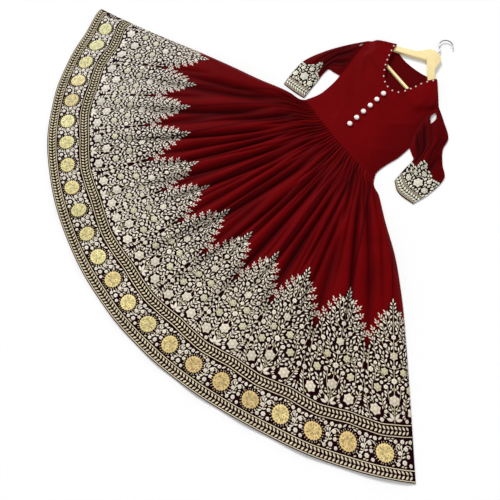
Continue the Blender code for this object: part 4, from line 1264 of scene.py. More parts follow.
def lay_out_tree():
    """Motifs and stems of half a tree, right of its axis, and those on the axis."""
    draw = np.random.default_rng(23)
    plot = Plot(clearance=0.0004)

    def allowed(discs):
        x, y, radius = discs[:, 0], discs[:, 1], discs[:, 2]
        half = np.minimum(tree_half(y), 0.498) * tree_pitch(y)
        return bool((x - radius > 0.0010).all() and (x + radius * 0.6 < half - 0.0004).all()
                    and (y - radius > TREE_BASE + 0.0006).all())

    def heading(x, y):
        return radians(90) - radians(44) * float(smooth_step(0.0, 0.02, x))

    laid = []
    for motif, x, y, size, tone in TREE_FLOWERS:
        plot.take(plot.discs(motif, x, y, size, size, 0.0))
        laid.append(Laid(motif, x, y, size, size, pi / 2, 0.0010 if motif is STAR else 0.0008, tone))
    for turn, length in ((58, 0.026), (12, 0.024)):
        x, y = cos(radians(turn)) * length * 0.54, 0.160 + sin(radians(turn)) * length * 0.54
        plot.take(plot.discs(LEAF, x, y, length, 0.012, radians(turn)))
        laid.append(Laid(LEAF, x, y, length, 0.012, radians(turn), 0.0009, "cream"))
    stems = [((0.0, 0.154), (0.0, 0.25), (0.0, 0.500))]
    for branch in TREE_BRANCHES:
        stems.append(branch)
        laid += leafy_branch(plot, branch, 0.0112, (0.0150, 0.0070), 0.0007, "cream", allowed)
    for number in range(6):
        share = number / 5
        x0, y0 = 0.0015, mix(0.440, 0.500, share)
        length = mix(0.0180, 0.0125, share)
        turn = radians(mix(34, 58, share))
        x, y = x0 + cos(turn) * length * 0.55, y0 + sin(turn) * length * 0.55
        discs = plot.discs(LEAF, x, y, length, 0.0066, turn)
        if plot.free(discs):
            plot.take(discs)
            laid.append(Laid(LEAF, x, y, length, 0.0066, turn, 0.0007, "cream"))
    laid.append(Laid(LEAF, 0.0, 0.516, 0.018, 0.0060, pi / 2, 0.0006, "cream"))
    kinds = [
        (ROUND_FLOWER, 0.0150, 0.0150, 0.0008, "cream", 0.9),
        (LEAF, 0.0185, 0.0076, 0.0007, "cream", 0.6),
        (ROUND_FLOWER, 0.0118, 0.0118, 0.0008, "cream", 1.2),
        (LEAF, 0.0150, 0.0064, 0.0007, "cream", 2.5),
        (SMALL_FLOWER, 0.0092, 0.0092, 0.0007, "cream", 0.8),
        (LEAF, 0.0115, 0.0054, 0.0006, "warm", 3.0),
        (SMALL_FLOWER, 0.0062, 0.0062, 0.0005, "warm", 1.5),
    ]
    laid += fill_plot(plot, allowed, (0.0, TREE_BASE), (0.095, TREE_TIP), kinds, 1500, draw, heading)
    return laid, stems


# Sprigs past a tree's outline: distance in from the hem, lean from the axis, pairs of leaves
SPRIGS = [(0.380, 26, 2), (0.402, 34, 2), (0.427, 38, 2), (0.450, 42, 2), (0.472, 44, 1)]
SPRIG_STEP = 0.0085


def lay_out_sprigs():
    """Leafy sprigs that stand out past a tree's outline, right of its axis."""
    laid = []
    for height, lean, leaves in SPRIGS:
        x0 = float(tree_half(height) * tree_pitch(height)) - 0.003
        run = radians(90 - lean)
        for number in range(leaves):
            x1 = x0 + cos(run) * number * SPRIG_STEP
            y1 = height + sin(run) * number * SPRIG_STEP
            for side in (1, -1):
                turn = run + side * radians(46)
                x, y = x1 + cos(turn) * 0.0060, y1 + sin(turn) * 0.0060
                laid.append(Laid(LEAF, x, y, 0.0128, 0.0058, turn, 0.0006, "cream"))
        end = leaves * SPRIG_STEP + 0.002
        x, y = x0 + cos(run) * end, height + sin(run) * end
        laid.append(Laid(LEAF, x, y, 0.0150, 0.0060, run, 0.0006, "cream"))
    return laid


def tone_of(tone, share, draw):
    """Thread colour of a tone, a little uneven, warmer towards the right of the hem."""
    table = {
        "cream": (THREAD, THREAD_WARM, 0.45),
        "warm": (THREAD_WARM, KHAKI, 0.5),
        "star": (THREAD, THREAD_WARM, 0.8),
        "green": (THREAD_GREEN, KHAKI, 0.6),
        "cuff": (THREAD_CUFF, THREAD_GREEN, 0.7),
        "band": (KHAKI, THREAD_WARM, 0.8),
        "gold": (GOLD_LEFT, GOLD_RIGHT, 1.0),
    }
    first, second, pull = table[tone]
    colour = mix(linear(first), linear(second), pull * share)
    return colour * mix(THREAD_LIGHT[0], THREAD_LIGHT[1], share) * draw.uniform(0.84, 1.04)


def embroider_trees(drawing, material):
    """All the trees: one layout, mirrored and repeated."""
    draw = np.random.default_rng(31)
    laid, stems = lay_out_tree()
    laid = laid + lay_out_sprigs()
    work = Embroidery()
    stitches = []
    for tree in range(-1, len(TREE_ANGLES) + 1):
        share = np.clip(tree / (len(TREE_ANGLES) - 1), 0.0, 1.0)
        for side in (1, -1):
            for row in laid:
                if (row.x < 1e-6 and side < 0) or (row.length < LEFT_LEAST and share < LEFT_REACH):
                    continue
                size = mix(LEFT_SIZE, 1.0, min(share / LEFT_REACH, 1.0))
                first = tree + side * row.x / float(tree_pitch(row.y))
                turn = row.turn if side > 0 else pi - row.turn
                colour = tone_of(row.tone, share, draw)
                length, width = row.length * size, row.width * size
                stitches.append(Stitch(row.motif, first, row.y, length, width, turn, row.lift, colour))
        for number, branch in enumerate(stems):
            for side in (1, -1):
                if number == 0 and side < 0:
                    continue
                places = np.array([bend(branch, step / 9)[0] for step in range(10)])
                firsts = tree + side * places[:, 0] / tree_pitch(places[:, 1])
                colour = tone_of("warm", share, draw) * 0.9
                work.line(drawing, firsts, places[:, 1], 0.0019, 0.0004, colour)
    work.stitch(drawing, stitches)
    return work.build("skirt_embroidery_trees", material)


def first_along(drawing, second, step):
    """Pattern places a fixed length of cloth apart, at one distance in from the hem."""
    middle = np.array([drawing.first.shape[1] / 2.0])
    at = np.array([drawing.sample(second, drawing.second_range)])
    row = int(round(float(bilinear(drawing.row_at, middle, at)[0])))
    line = drawing.top[row]
    length = np.concatenate([[0.0], np.cumsum(np.linalg.norm(np.diff(line, axis=0), axis=1))])
    stations = np.arange(step, length[-1] - step / 2, step)
    return np.interp(stations, length, drawing.first[row])


def chevrons(drawing, middle):
    """V-shaped pairs of leaves along a band."""
    draw = np.random.default_rng(int(middle * 1e4))
    places = first_along(drawing, middle, CHEVRON_PITCH)
    stitches = []
    for number, first in enumerate(places):
        share = number / len(places)
        for side in (1, -1):
            turn = radians(180 - side * 52)
            second = middle + side * CHEVRON_ASIDE
            colour = tone_of("band", share, draw)
            stitches.append(Stitch(LEAF, first, second, *CHEVRON_LEAF, turn, 0.0008, colour))
    return stitches


def coin_places(drawing):
    """Pattern places of the medallions, a little closer together at the left."""
    share = np.arange(-COINS_HIDDEN, COINS) / (COINS - 1)
    angles = mix(COIN_ANGLES[0], COIN_ANGLES[1], share * (1.0 - COIN_CLOSING) + COIN_CLOSING * share ** 2)
    offset = drawing.top[..., :2] - FAN_CENTRE
    grid_angles = np.degrees(np.arctan2(offset[..., 1], offset[..., 0]))
    row = int(np.argmin(np.abs(drawing.second[:, drawing.second.shape[1] // 2] - COIN_IN)))
    return np.interp(angles, grid_angles[row], drawing.first[row])


# Vine between two medallions: places as shares of the way across, and in from the hem
VINE_LINE = [
    (0.245, 0.052), (0.33, 0.046), (0.43, 0.060), (0.465, 0.078), (0.55, 0.092), (0.65, 0.094),
    (0.74, 0.086),
]
VINE_CURL = [(0.465, 0.078), (0.415, 0.092), (0.33, 0.096), (0.295, 0.086), (0.345, 0.080)]
VINE_FLOWERS = [
    (0.40, 0.074, 0.0150), (0.525, 0.050, 0.0165), (0.63, 0.066, 0.0135), (0.575, 0.086, 0.0155),
    (0.285, 0.104, 0.0140), (0.475, 0.105, 0.0150), (0.715, 0.104, 0.0140), (0.00, 0.1095, 0.0080),
    (0.355, 0.044, 0.0135), (0.69, 0.043, 0.0130),
]
VINE_CELL = 0.104


def lay_out_vine():
    """Motifs of the band between two medallions, in metres from the left one's middle."""
    draw = np.random.default_rng(5)
    plot = Plot(clearance=0.0007)
    for x in (0.0, VINE_CELL):
        plot.take(np.array([[x, COIN_IN, COIN_SIZE / 2 + COIN_TICK[0] + 0.0004]]))
    laid = []
    for share, y, size in VINE_FLOWERS:
        x = share * VINE_CELL
        plot.take(plot.discs(ROUND_FLOWER, x, y, size, size, 0.0))
        if share == 0.0:
            plot.take(plot.discs(ROUND_FLOWER, VINE_CELL, y, size, size, 0.0))
        laid.append(Laid(ROUND_FLOWER, x, y, size, size, 0.3, 0.0008, "cream"))

    def allowed(discs):
        x, y, radius = discs[:, 0], discs[:, 1], discs[:, 2]
        inside = (y - radius > VINE_BAND[0]).all() and (y + radius < VINE_BAND[1]).all()
        return bool(inside and (x > 0.0).all() and (x < VINE_CELL).all())

    def heading(x, y):
        return radians(35) + 14.0 * (x - VINE_CELL / 2)

    for points in (VINE_LINE, VINE_CURL):
        for first, second in zip(points, points[1:]):
            start = np.array([first[0] * VINE_CELL, first[1]])
            end = np.array([second[0] * VINE_CELL, second[1]])
            run = atan2(end[1] - start[1], end[0] - start[0])
            for side in (1, -1):
                turn = run + side * radians(50)
                x, y = start[0] + cos(turn) * 0.0084, start[1] + sin(turn) * 0.0084
                discs = plot.discs(LEAF, x, y, 0.0150, 0.0066, turn)
                if allowed(discs) and plot.free(discs):
                    plot.take(discs)
                    laid.append(Laid(LEAF, x, y, 0.0150, 0.0066, turn, 0.0006, "cream"))
    kinds = [
        (LEAF, 0.0170, 0.0074, 0.0006, "cream", 1.0),
        (SMALL_FLOWER, 0.0110, 0.0110, 0.0006, "cream", 0.5),
        (LEAF, 0.0135, 0.0062, 0.0006, "cream", 2.0),
        (LEAF, 0.0104, 0.0050, 0.0005, "warm", 2.5),
        (SMALL_FLOWER, 0.0066, 0.0066, 0.0005, "warm", 0.6),
    ]
    low, high = (0.0, VINE_BAND[0]), (VINE_CELL, VINE_BAND[1])
    laid += fill_plot(plot, allowed, low, high, kinds, 900, draw, heading)
    return laid


def embroider_border(drawing, material):
    """Lines, chevron bands, medallions and vines along the hem."""
    draw = np.random.default_rng(41)
    work = Embroidery()
    samples = np.linspace(drawing.first_range[0], drawing.first_range[1], 420)
    for second in OUTER_LINES + INNER_LINES:
        width = 0.0028
        for piece in np.array_split(np.arange(len(samples)), 6):
            span = samples[piece[0]:piece[-1] + 2]
            colour = tone_of("band", piece[0] / len(samples), draw)
            work.line(drawing, span, np.full(len(span), second), width, 0.0006, colour)
    stitches = chevrons(drawing, OUTER_MIDDLE) + chevrons(drawing, INNER_MIDDLE)
    coins = coin_places(drawing)
    step = np.diff(coins)
    cells = np.concatenate([[coins[0] - step[0]], coins, [coins[-1] + step[-1]]])
    vine = lay_out_vine()
    for number in range(len(cells) - 1):
        start, width = cells[number], cells[number + 1] - cells[number]
        share = number / len(cells)
        for row in vine:
            first = start + row.x / VINE_CELL * width
            colour = tone_of(row.tone, share, draw)
            stitches.append(Stitch(row.motif, first, row.y, row.length, row.width, row.turn, row.lift, colour))
        for points in (VINE_LINE, VINE_CURL):
            route = curve(points)(np.linspace(0.0, 1.0, 14))
            colour = tone_of("cream", share, draw)
            work.line(drawing, start + route[:, 0] * width, route[:, 1], 0.0024, 0.0006, colour)
    for number, first in enumerate(coins):
        share = np.clip(number / (COINS - 1) + draw.uniform(-COIN_DRIFT, COIN_DRIFT), 0.0, 1.0)
        colour = tone_of("gold", share, draw)
        turn = draw.uniform(0, 2 * pi)
        stitches.append(Stitch(COIN, first, COIN_IN, COIN_SIZE, COIN_SIZE, turn, 0.0011, colour))
        scale = float(drawing.metres_per_first(COIN_IN, first))
        for tick in range(COIN_TICKS):
            turn = 2 * pi * (tick + draw.uniform(-0.2, 0.2)) / COIN_TICKS
            reach = COIN_SIZE / 2 + COIN_TICK[0] * draw.uniform(0.35, 0.60)
            x, y = first + reach * cos(turn) / scale, COIN_IN + reach * sin(turn)
            colour = tone_of("warm", 0.3, draw)
            stitches.append(Stitch(LEAF, x, y, *COIN_TICK, turn, 0.0006, colour))
    for first in (cells[0], cells[-1]):
        for ring, count in ((0.0, 1), (0.0095, 6), (0.0180, 11)):
            for number in range(count):
                turn = 2 * pi * number / count
                shift = ring * cos(turn) / float(drawing.metres_per_first(COIN_IN, first))
                motif = SMALL_FLOWER if number % 2 else LEAF
                colour = tone_of("cream", 0.5, draw)
                x, y = first + shift, COIN_IN + ring * sin(turn)
                stitches.append(Stitch(motif, x, y, 0.0085, 0.0070, turn, 0.0006, colour))
    work.stitch(drawing, stitches)
    return work.build("skirt_embroidery_border", material)


def skirt_grid():
    """Across and down shares of the skirt's points, closer together near the waist."""
    steps = np.linspace(0.0, 1.0, SKIRT_ROWS + 1)
    return grid_of(np.linspace(0.0, 1.0, SKIRT_COLUMNS + 1), steps * 0.72 + 0.28 * steps ** 2)


def ruck(across):
    """How far in from the hem the pattern is pulled, in uneven bends with rather straight runs."""
    phase = across * RUCK_WAVES + RUCK_DRIFT[0] * np.sin(across * RUCK_DRIFT[1])
    return RUCK * (np.sin(phase) - np.sin(3 * phase) / 9)


def skirt_drawing(top, across, down, depth):
    """The skirt's pattern: trees counted from the left, and distance in from the hem."""
    angle, radius = skirt_place(across, down)
    bottom = hem_radius(mix(HEM_SPAN[0], HEM_SPAN[1], across))
    inward = bottom - radius
    inward = inward + ruck(across) * smooth_step(0.0, RUCK_FADE, inward)
    offset = top[..., :2] - FAN_CENTRE
    angles = np.degrees(np.arctan2(offset[..., 1], offset[..., 0]))
    steps = np.linalg.norm(np.diff(top, axis=1), axis=-1)
    length = np.concatenate([np.zeros((len(top), 1)), np.cumsum(steps, axis=1)], axis=1)
    trees = np.empty_like(length)
    pitch = np.empty((len(top), len(TREE_ANGLES) - 1))
    for row in range(len(top)):
        axes = np.interp(TREE_ANGLES, angles[row], length[row])
        pitch[row] = np.diff(axes)
        before = np.concatenate([[axes[0] - (axes[1] - axes[0])], axes, [axes[-1] + (axes[-1] - axes[-2])]])
        trees[row] = np.interp(length[row], before, np.arange(-1, len(TREE_ANGLES) + 1))
    middle_inward = inward[:, inward.shape[1] // 2]

    def metres_per_tree(second, first):
        second, first = np.asarray(second, float), np.asarray(first, float)
        row = np.interp(second, middle_inward[::-1], np.arange(len(middle_inward))[::-1])
        return bilinear(pitch, row, np.clip(first - 0.5, 0.0, pitch.shape[1] - 1.001))

    return Drawing(top, trees, inward, metres_per_tree, depth)


def skirt_gap_shade(drawing):
    """Painted shade among the embroidery: 1 where the cloth carries embroidery, 0 elsewhere."""
    nearest = np.abs(drawing.first - np.round(drawing.first))
    half = tree_half(drawing.second)
    aside = (nearest - half) * tree_pitch(drawing.second)
    trees = 1.0 - smooth_step(-0.004, 0.007, aside)
    return np.where(drawing.second < TREE_VALLEY, 1.0, trees)


def main_skirt(cloth, thread):
    across, down = skirt_grid()
    angle, radius = skirt_place(across, down)
    top_radius = waist_radius(waist_angle(across))
    plan = on_ray(angle, radius)
    under = np.dstack([plan, skirt_height(across, angle, radius, top_radius)])
    top = under + normals_of(under) * WALL
    # Painted shade: deeper in the folds, more over the skirt's left part, and among the embroidery
    left = LEFT_SHADE * (1.0 - smooth_step(0.0, LEFT_SHADE_REACH, across))
    depth = mix(fold_shade(unfolded(across, angle, radius, top_radius)), 1.0, left)
    drawing = skirt_drawing(top, across, down, depth)
    ground = skirt_gap_shade(drawing)
    front, _ = make_shell("skirt_front_cloth", under, cloth, skip=2, ground=ground, depth=depth)
    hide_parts("skirt_front")
    close_normals(front)
    across, down = grid_of(np.linspace(0.0, 1.0, 121), np.linspace(0.0, 1.0, 41))
    angle, radius = skirt_place(across, down, BACK_SHRINK)
    plan = on_ray(angle, radius)
    back, _ = make_shell("skirt_back_cloth", np.dstack([plan, np.zeros(plan.shape[:2])]), cloth)
    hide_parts("skirt_back")
    close_normals(back)
    trees = embroider_trees(drawing, thread)
    border = embroider_border(drawing, thread)
    return front, back, [trees, border]


def bodice_grid():
    """Shares of the bodice's points: the shoulders' ends are columns, rows close up at the top."""
    neck = 0.5 - 0.5 * np.cos(np.linspace(0.0, pi, 81))
    shoulder = np.linspace(0.0, SHOULDER_SHARE, 31)
    columns = np.concatenate([
        shoulder[:-1], mix(SHOULDER_SHARE, 1.0 - SHOULDER_SHARE, neck), 1.0 - shoulder[::-1][1:],
    ])
    steps = np.linspace(0.0, 1.0, 66)
    upper = 1.0 - (1.0 - steps) ** 1.5
    rows = np.concatenate([np.linspace(0.0, 1.0 - ARMHOLE_SHARE, 60)[:-1], mix(1.0 - ARMHOLE_SHARE, 1.0, upper)])
    return grid_of(columns, rows)


def make_bodice(cloth):
    across, up = bodice_grid()
    plan = bodice_spot(NECK_FRONT, across, up, SEWN)
    # Painted shade on the front towards the right armhole
    shade = BODICE_SHADE * smooth_step(0.06, 0.21, plan[..., 0]) * (1.0 - smooth_step(0.26, 0.40, plan[..., 1]))
    under = np.dstack([plan, front_height(plan, across, up)])
    front, top = make_shell("bodice_front_cloth", under, cloth, depth=shade)
    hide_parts("bodice_front")
    close_normals(front)
    plan = bodice_spot(NECK_BACK, across[::2, ::2], up[::2, ::2], SEWN)
    # Painted shade all over the inside of the back panel, seen through the neck
    inside = np.full(plan.shape[:2], INSIDE_SHADE)
    back, _ = make_shell("bodice_back_cloth", np.dstack([plan, np.zeros(plan.shape[:2])]), cloth, depth=inside)
    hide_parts("bodice_back")
    close_normals(back)
    return front, back, top


def keyhole_outline(sleeve, grow=0.0):
    """Plan points of the leaf-shaped cut-out: two arcs that meet in a point at each end."""
    turn = radians(sleeve.keyhole_turn)
    along = np.array([cos(turn), sin(turn)])
    aside = np.array([-along[1], along[0]])
    outline = []
    for side in (1, -1):
        for step in range(KEYHOLE_POINTS):
            share = step / KEYHOLE_POINTS
            reach = (share - 0.5) * (KEYHOLE_LENGTH + 2 * (sleeve.keyhole_grow[0] + grow)) * side
            bulge = side * (KEYHOLE_WIDTH / 2 + sleeve.keyhole_grow[1] + grow) * sin(pi * share) ** KEYHOLE_ROUND
            outline.append(np.array(sleeve.keyhole) + along * reach + aside * bulge)
    return np.array(outline)


def cut_keyhole(piece, sleeve, grow):
    """Cut the leaf-shaped hole through a sleeve's layer."""
    ring = keyhole_outline(sleeve, grow) + ORIGIN[:2]
    count = len(ring)
    points = [(x, y, -0.01) for x, y in ring] + [(x, y, 0.05) for x, y in ring]
    faces = [list(range(count))[::-1], list(range(count, 2 * count))]
    faces += [[i, (i + 1) % count, count + (i + 1) % count, count + i] for i in range(count)]
    mesh = bpy.data.meshes.new("keyhole_cutter")
    mesh.from_pydata(points, [], faces)
    cutter = placed("keyhole_cutter", mesh)
    close_normals(cutter)
    modifier = piece.modifiers.new("keyhole", "BOOLEAN")
    modifier.operation = "DIFFERENCE"
    modifier.object = cutter
    depsgraph = bpy.context.evaluated_depsgraph_get()
    result = bpy.data.meshes.new_from_object(piece.evaluated_get(depsgraph))
    piece.modifiers.clear()
    piece.data = result
    bpy.data.objects.remove(cutter, do_unlink=True)


def tube(name, route, radius, material, slot, sides=8, closed=False):
    """A round cord of cloth or thread along 3D points."""
    route = np.asarray(route, float)
    count = len(route)
    if closed:
        run = np.roll(route, -1, axis=0) - np.roll(route, 1, axis=0)
    else:
        run = np.gradient(route, axis=0)
    run = run / np.linalg.norm(run, axis=1, keepdims=True)
    aside = np.cross(run, np.array([0.0, 0.0, 1.0]))
    aside = aside / np.linalg.norm(aside, axis=1, keepdims=True)
    above = np.cross(aside, run)
    turns = 2 * pi * np.arange(sides) / sides
    ring = aside[:, None] * np.cos(turns)[None, :, None] + above[:, None] * np.sin(turns)[None, :, None]
    points = (route[:, None] + ring * radius).reshape(-1, 3)
    faces = []
    for i in range(count if closed else count - 1):
        for j in range(sides):
            a = i * sides + j
            b = i * sides + (j + 1) % sides
            c = ((i + 1) % count) * sides + (j + 1) % sides
            d = ((i + 1) % count) * sides + j
            faces.append([a, b, c, d])
    if not closed:
        faces.append(list(range(sides))[::-1])
        faces.append([(count - 1) * sides + j for j in range(sides)])
    return new_piece(name, points, faces, material, slot)


def make_sleeves(cloth, thread, stitch):
    """Both sleeves: two layers each, a bound cut-out and an embroidered cuff."""
    results = []
    for sleeve in SLEEVES:
        across, down = grid_of(np.linspace(0.0, 1.0, 91), np.linspace(0.0, 1.0, 121))
        plan = sleeve_spot(sleeve, across, down, -SEWN)
        under = np.dstack([plan, sleeve_height(sleeve, across, down)])
        top = under + normals_of(under) * WALL
        # Painted shade over the whole sleeve, deeper in its folds; the cuff's thread takes only the fold part
        depth = mix(SLEEVE_SHADE, 1.0, fold_shade(sleeve_unfolded(sleeve, across, down)))
        drawing = cuff_drawing(top, depth - SLEEVE_SHADE)
        ground = cuff_gap_shade(drawing)
        front, _ = make_shell(f"sleeve_{sleeve.name}_front_cloth", under, cloth, ground=ground, depth=depth)
        close_normals(front)
        cut_keyhole(front, sleeve, 0.0)
        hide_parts(f"sleeve_{sleeve.name}_front")
        plan = sleeve_spot(sleeve, across[::3, ::3], down[::3, ::3], -SEWN)
        back, _ = make_shell(f"sleeve_{sleeve.name}_back_cloth", np.dstack([plan, np.zeros(plan.shape[:2])]), cloth)
        close_normals(back)
        cut_keyhole(back, sleeve, KEYHOLE_BEHIND)
        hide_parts(f"sleeve_{sleeve.name}_back")
        ring = keyhole_outline(sleeve, KEYHOLE_BINDING / 2)
        heights = nearest_height(top, ring)
        binding = tube(f"keyhole_binding_{sleeve.name}", np.column_stack([ring, heights - 0.0002]),
                       KEYHOLE_BINDING, cloth, "maroon_cloth", closed=True)
        plain_cloth_map(binding)
        cuff = embroider_cuff(drawing, sleeve, thread)
        stitching = make_sleeve_stitching(sleeve, top, stitch)
        results.append((front, back, [binding, cuff, stitching]))
    return results


def nearest_height(top, points):
    """Height of a sheet's top under plan points, from the grid points around them."""
    flat = top.reshape(-1, 3)
    heights = []
    for point in points:
        away = np.hypot(flat[:, 0] - point[0], flat[:, 1] - point[1])
        near = np.argpartition(away, 6)[:6]
        weight = 1.0 / (away[near] + 1e-5) ** 2
        heights.append(float((flat[near, 2] * weight).sum() / weight.sum()))
    return np.array(heights)


def plain_cloth_map(piece):
    """Give a small piece of cloth a map from its plan, and no painted shade among embroidery or in folds."""
    points = np.empty(len(piece.data.vertices) * 3)
    piece.data.vertices.foreach_get("co", points)
    points = points.reshape(-1, 3)
    set_map(piece, points[:, :2])
    for name in ("ground", "depth"):
        set_share(piece, name, np.zeros(len(points)))


CUFF_TOP = [
    (-0.060, 0.104), (-0.030, 0.120), (-0.008, 0.168), (0.004, 0.172), (0.016, 0.142), (0.034, 0.122),
    (0.060, 0.128),
]

# Large flowers of a cuff: place right of its middle, height above the opening, size
CUFF_FLOWERS = [
    (0.002, 0.076, 0.042), (-0.037, 0.062, 0.029), (0.041, 0.066, 0.029), (0.001, 0.118, 0.025),
    (-0.029, 0.097, 0.021), (0.032, 0.103, 0.021), (0.003, 0.149, 0.016),
]


def cuff_top(first):
    """Height of the cuff's embroidery above the opening, across the sleeve."""
    places, heights = zip(*CUFF_TOP)
    return np.interp(first, places, heights)


def cuff_drawing(top, depth):
    """The cuff's pattern: metres from the sleeve's middle, and metres up from its opening."""
    across, down = cloth_coordinates(top)
    return Drawing(top, across, down[-1:] - down, lambda second, first: np.ones(np.shape(second)), depth)


def cuff_gap_shade(drawing):
    # Painted shade among the cuff's embroidery: 1 below its top edge, 0 above it
    aside = drawing.second - cuff_top(drawing.first)
    return 1.0 - smooth_step(-0.006, 0.004, aside)


def embroider_cuff(drawing, sleeve, material):
    """A dense cuff: a band at the opening, large flowers above it and leaves up to a peak."""
    draw = np.random.default_rng(11 + sleeve.side)
    plot = Plot(clearance=-0.0003)
    work = Embroidery()
    reach = 0.064
    for second in (0.0035, 0.0075, 0.0335, 0.0375):
        firsts = np.linspace(-reach, reach, 40)
        work.line(drawing, firsts, np.full(40, second), 0.0020, 0.0006, tone_of("warm", 0.4, draw))
    laid = []
    for number in range(13):
        x = (number - 6) * 0.0104
        for side in (1, -1):
            turn = radians(180 - side * 52)
            laid.append(Laid(LEAF, x, 0.0205 + side * 0.0060, 0.0158, 0.0098, turn, 0.0007, "cuff"))
    for x, y, size in CUFF_FLOWERS:
        plot.take(plot.discs(STAR, x, y, size, size, 0.0))
        laid.append(Laid(STAR, x, y, size, size, 0.2, 0.0010, "cuff"))
    for x in np.arange(-reach + 0.004, reach, 0.0094):
        y = float(cuff_top(x)) - 0.0070
        plot.take(plot.discs(ROUND_FLOWER, x, y, 0.0110, 0.0110, 0.0))
        laid.append(Laid(ROUND_FLOWER, x, y, 0.0110, 0.0110, 0.5, 0.0008, "cuff"))

    def allowed(discs):
        x, y, radius = discs[:, 0], discs[:, 1], discs[:, 2]
        inside = (np.abs(x) < reach).all() and (y - radius > 0.0390).all()
        return bool(inside and (y + radius * 0.7 < cuff_top(x)).all())

    kinds = [
        (LEAF, 0.0185, 0.0106, 0.0008, "cuff", 1.5),
        (ROUND_FLOWER, 0.0125, 0.0125, 0.0007, "cuff", 0.4),
        (LEAF, 0.0140, 0.0084, 0.0007, "cuff", 3.0),
        (SMALL_FLOWER, 0.0090, 0.0090, 0.0006, "cuff", 1.5),
        (LEAF, 0.0105, 0.0066, 0.0006, "cuff", 4.0),
        (SMALL_FLOWER, 0.0056, 0.0056, 0.0005, "cuff", 4.0),
    ]
    def heading(x, y):
        return radians(90) - 8.0 * x

    laid += fill_plot(plot, allowed, (-reach, 0.038), (reach, 0.175), kinds, 1100, draw, heading)
    stitches = [
        Stitch(row.motif, row.x, row.y, row.length, row.width, row.turn, row.lift, tone_of(row.tone, 0.5, draw))
        for row in laid
    ]
    work.stitch(drawing, stitches)
    return work.build(f"cuff_embroidery_{sleeve.name}", material)


def neck_route(inset, count):
    """Plan places along the neckline, moved into the cloth, evenly spaced."""
    places = curve(NECK_FRONT)(np.linspace(0.0, 1.0, 400))
    run = np.gradient(places, axis=0)
    run = run / np.linalg.norm(run, axis=1, keepdims=True)
    outward = np.stack([run[:, 1], -run[:, 0]], axis=1)
    moved = places + outward * inset
    length = np.concatenate([[0.0], np.cumsum(np.linalg.norm(np.diff(moved, axis=0), axis=1))])
    at = np.linspace(0.0, length[-1], count)
    return np.stack([np.interp(at, length, moved[:, 0]), np.interp(at, length, moved[:, 1])], axis=1), length[-1]


def lathe(profile, sides, centre):
    """Points and faces of a round form from a profile of radius and height."""
    turns = 2 * pi * np.arange(sides) / sides
    points = []
    for radius, height in profile:
        for turn in turns:
            x, y = centre[0] + radius * cos(turn), centre[1] + radius * sin(turn)
            points.append((x, y, centre[2] + height))
    points.append((centre[0], centre[1], centre[2] + profile[-1][1]))
    points.append((centre[0], centre[1], centre[2] + profile[0][1]))
    count = len(profile)
    faces = []
    for ring in range(count - 1):
        for i in range(sides):
            a, b = ring * sides + i, ring * sides + (i + 1) % sides
            faces.append([a, b, b + sides, a + sides])
    last = (count - 1) * sides
    faces += [[last + i, last + (i + 1) % sides, last + sides] for i in range(sides)]
    faces += [[(i + 1) % sides, i, count * sides + 1] for i in range(sides)]
    return points, faces


def stitches_on(top, routes):
    """Points and faces of short raised stitches along plan routes on a sheet."""
    points = []
    faces = []
    for route in routes:
        steps = np.linalg.norm(np.diff(route, axis=0), axis=1)
        length = np.concatenate([[0.0], np.cumsum(steps)])
        at = np.arange(0.0, length[-1], STITCH_STEP)
        spots = np.stack([np.interp(at, length, route[:, 0]), np.interp(at, length, route[:, 1])], axis=1)
        heights = nearest_height(top, spots)
        for (a, b), (low, high) in zip(zip(spots, spots[1:]), zip(heights, heights[1:])):
            run = (b - a) * 0.38
            aside = np.array([-run[1], run[0]]) / np.linalg.norm(run) * STITCH_WIDTH / 2
            middle, height = (a + b) / 2, (low + high) / 2
            start = len(points)
            points += [(*(middle - run), height), (*(middle + aside), height), (*(middle + run), height),
                       (*(middle - aside), height), (*middle, height + STITCH_LIFT)]
            faces += [[start, start + 4, start + 1], [start + 1, start + 4, start + 2],
                      [start + 2, start + 4, start + 3], [start + 3, start + 4, start]]
    return points, faces


def make_neck(cloth, pearl, bodice_top):
    """Bindings on both neckline edges, and pearls just inside the front one."""
    route, _ = neck_route(0.0004, 120)
    heights = nearest_height(bodice_top, route)
    line = np.column_stack([route, heights - 0.0003])
    front = tube("neck_binding_front", line, PIPING_RADIUS, cloth, "maroon_cloth")
    route = curve(NECK_BACK)(np.linspace(0.0, 1.0, 90))
    line = np.column_stack([route, np.full(90, PIPING_RADIUS)])
    back = tube("neck_binding_back", line, PIPING_RADIUS, cloth, "maroon_cloth")
    for piping in (front, back):
        plain_cloth_map(piping)
    _, length = neck_route(PEARL_INSET, 10)
    route, _ = neck_route(PEARL_INSET, int(length / PEARL_STEP) + 2)
    heights = nearest_height(bodice_top, route)
    turns = np.linspace(-0.55, 1.45, 10)
    profile = [(PEARL_RADIUS * cos(turn), PEARL_RADIUS * (0.55 + sin(turn))) for turn in turns]
    points = []
    faces = []
    for place, height in zip(route[1:-1], heights[1:-1]):
        more_points, more_faces = lathe(profile, 16, (place[0], place[1], height))
        faces += [[i + len(points) for i in face] for face in more_faces]
        points += more_points
    return front, back, new_piece("neck_pearls", points, faces, pearl, "button")


def make_bodice_stitching(thread, bodice_top):
    """Rows of stitches above the waist seam and round the front neckline."""
    shares = np.linspace(0.004, 0.996, 200)
    neck, _ = neck_route(NECK_STITCH_INSET, 160)
    points, faces = stitches_on(bodice_top, [waist_point(shares, -SEAM_STITCH_INSET), neck[2:-2]])
    return new_piece("bodice_stitching", points, faces, thread, "maroon_cloth")


def make_sleeve_stitching(sleeve, top, thread):
    """A row of stitches on the sleeve beside its armhole seam."""
    armhole = ARMHOLE_LEFT if sleeve.side < 0 else ARMHOLE_RIGHT
    route = curve(armhole)(np.linspace(0.03, 0.97, 80)) + np.array([sleeve.side * SEAM_STITCH_INSET, 0.0])
    points, faces = stitches_on(top, [route])
    return new_piece(f"sleeve_stitching_{sleeve.name}", points, faces, thread, "maroon_cloth")


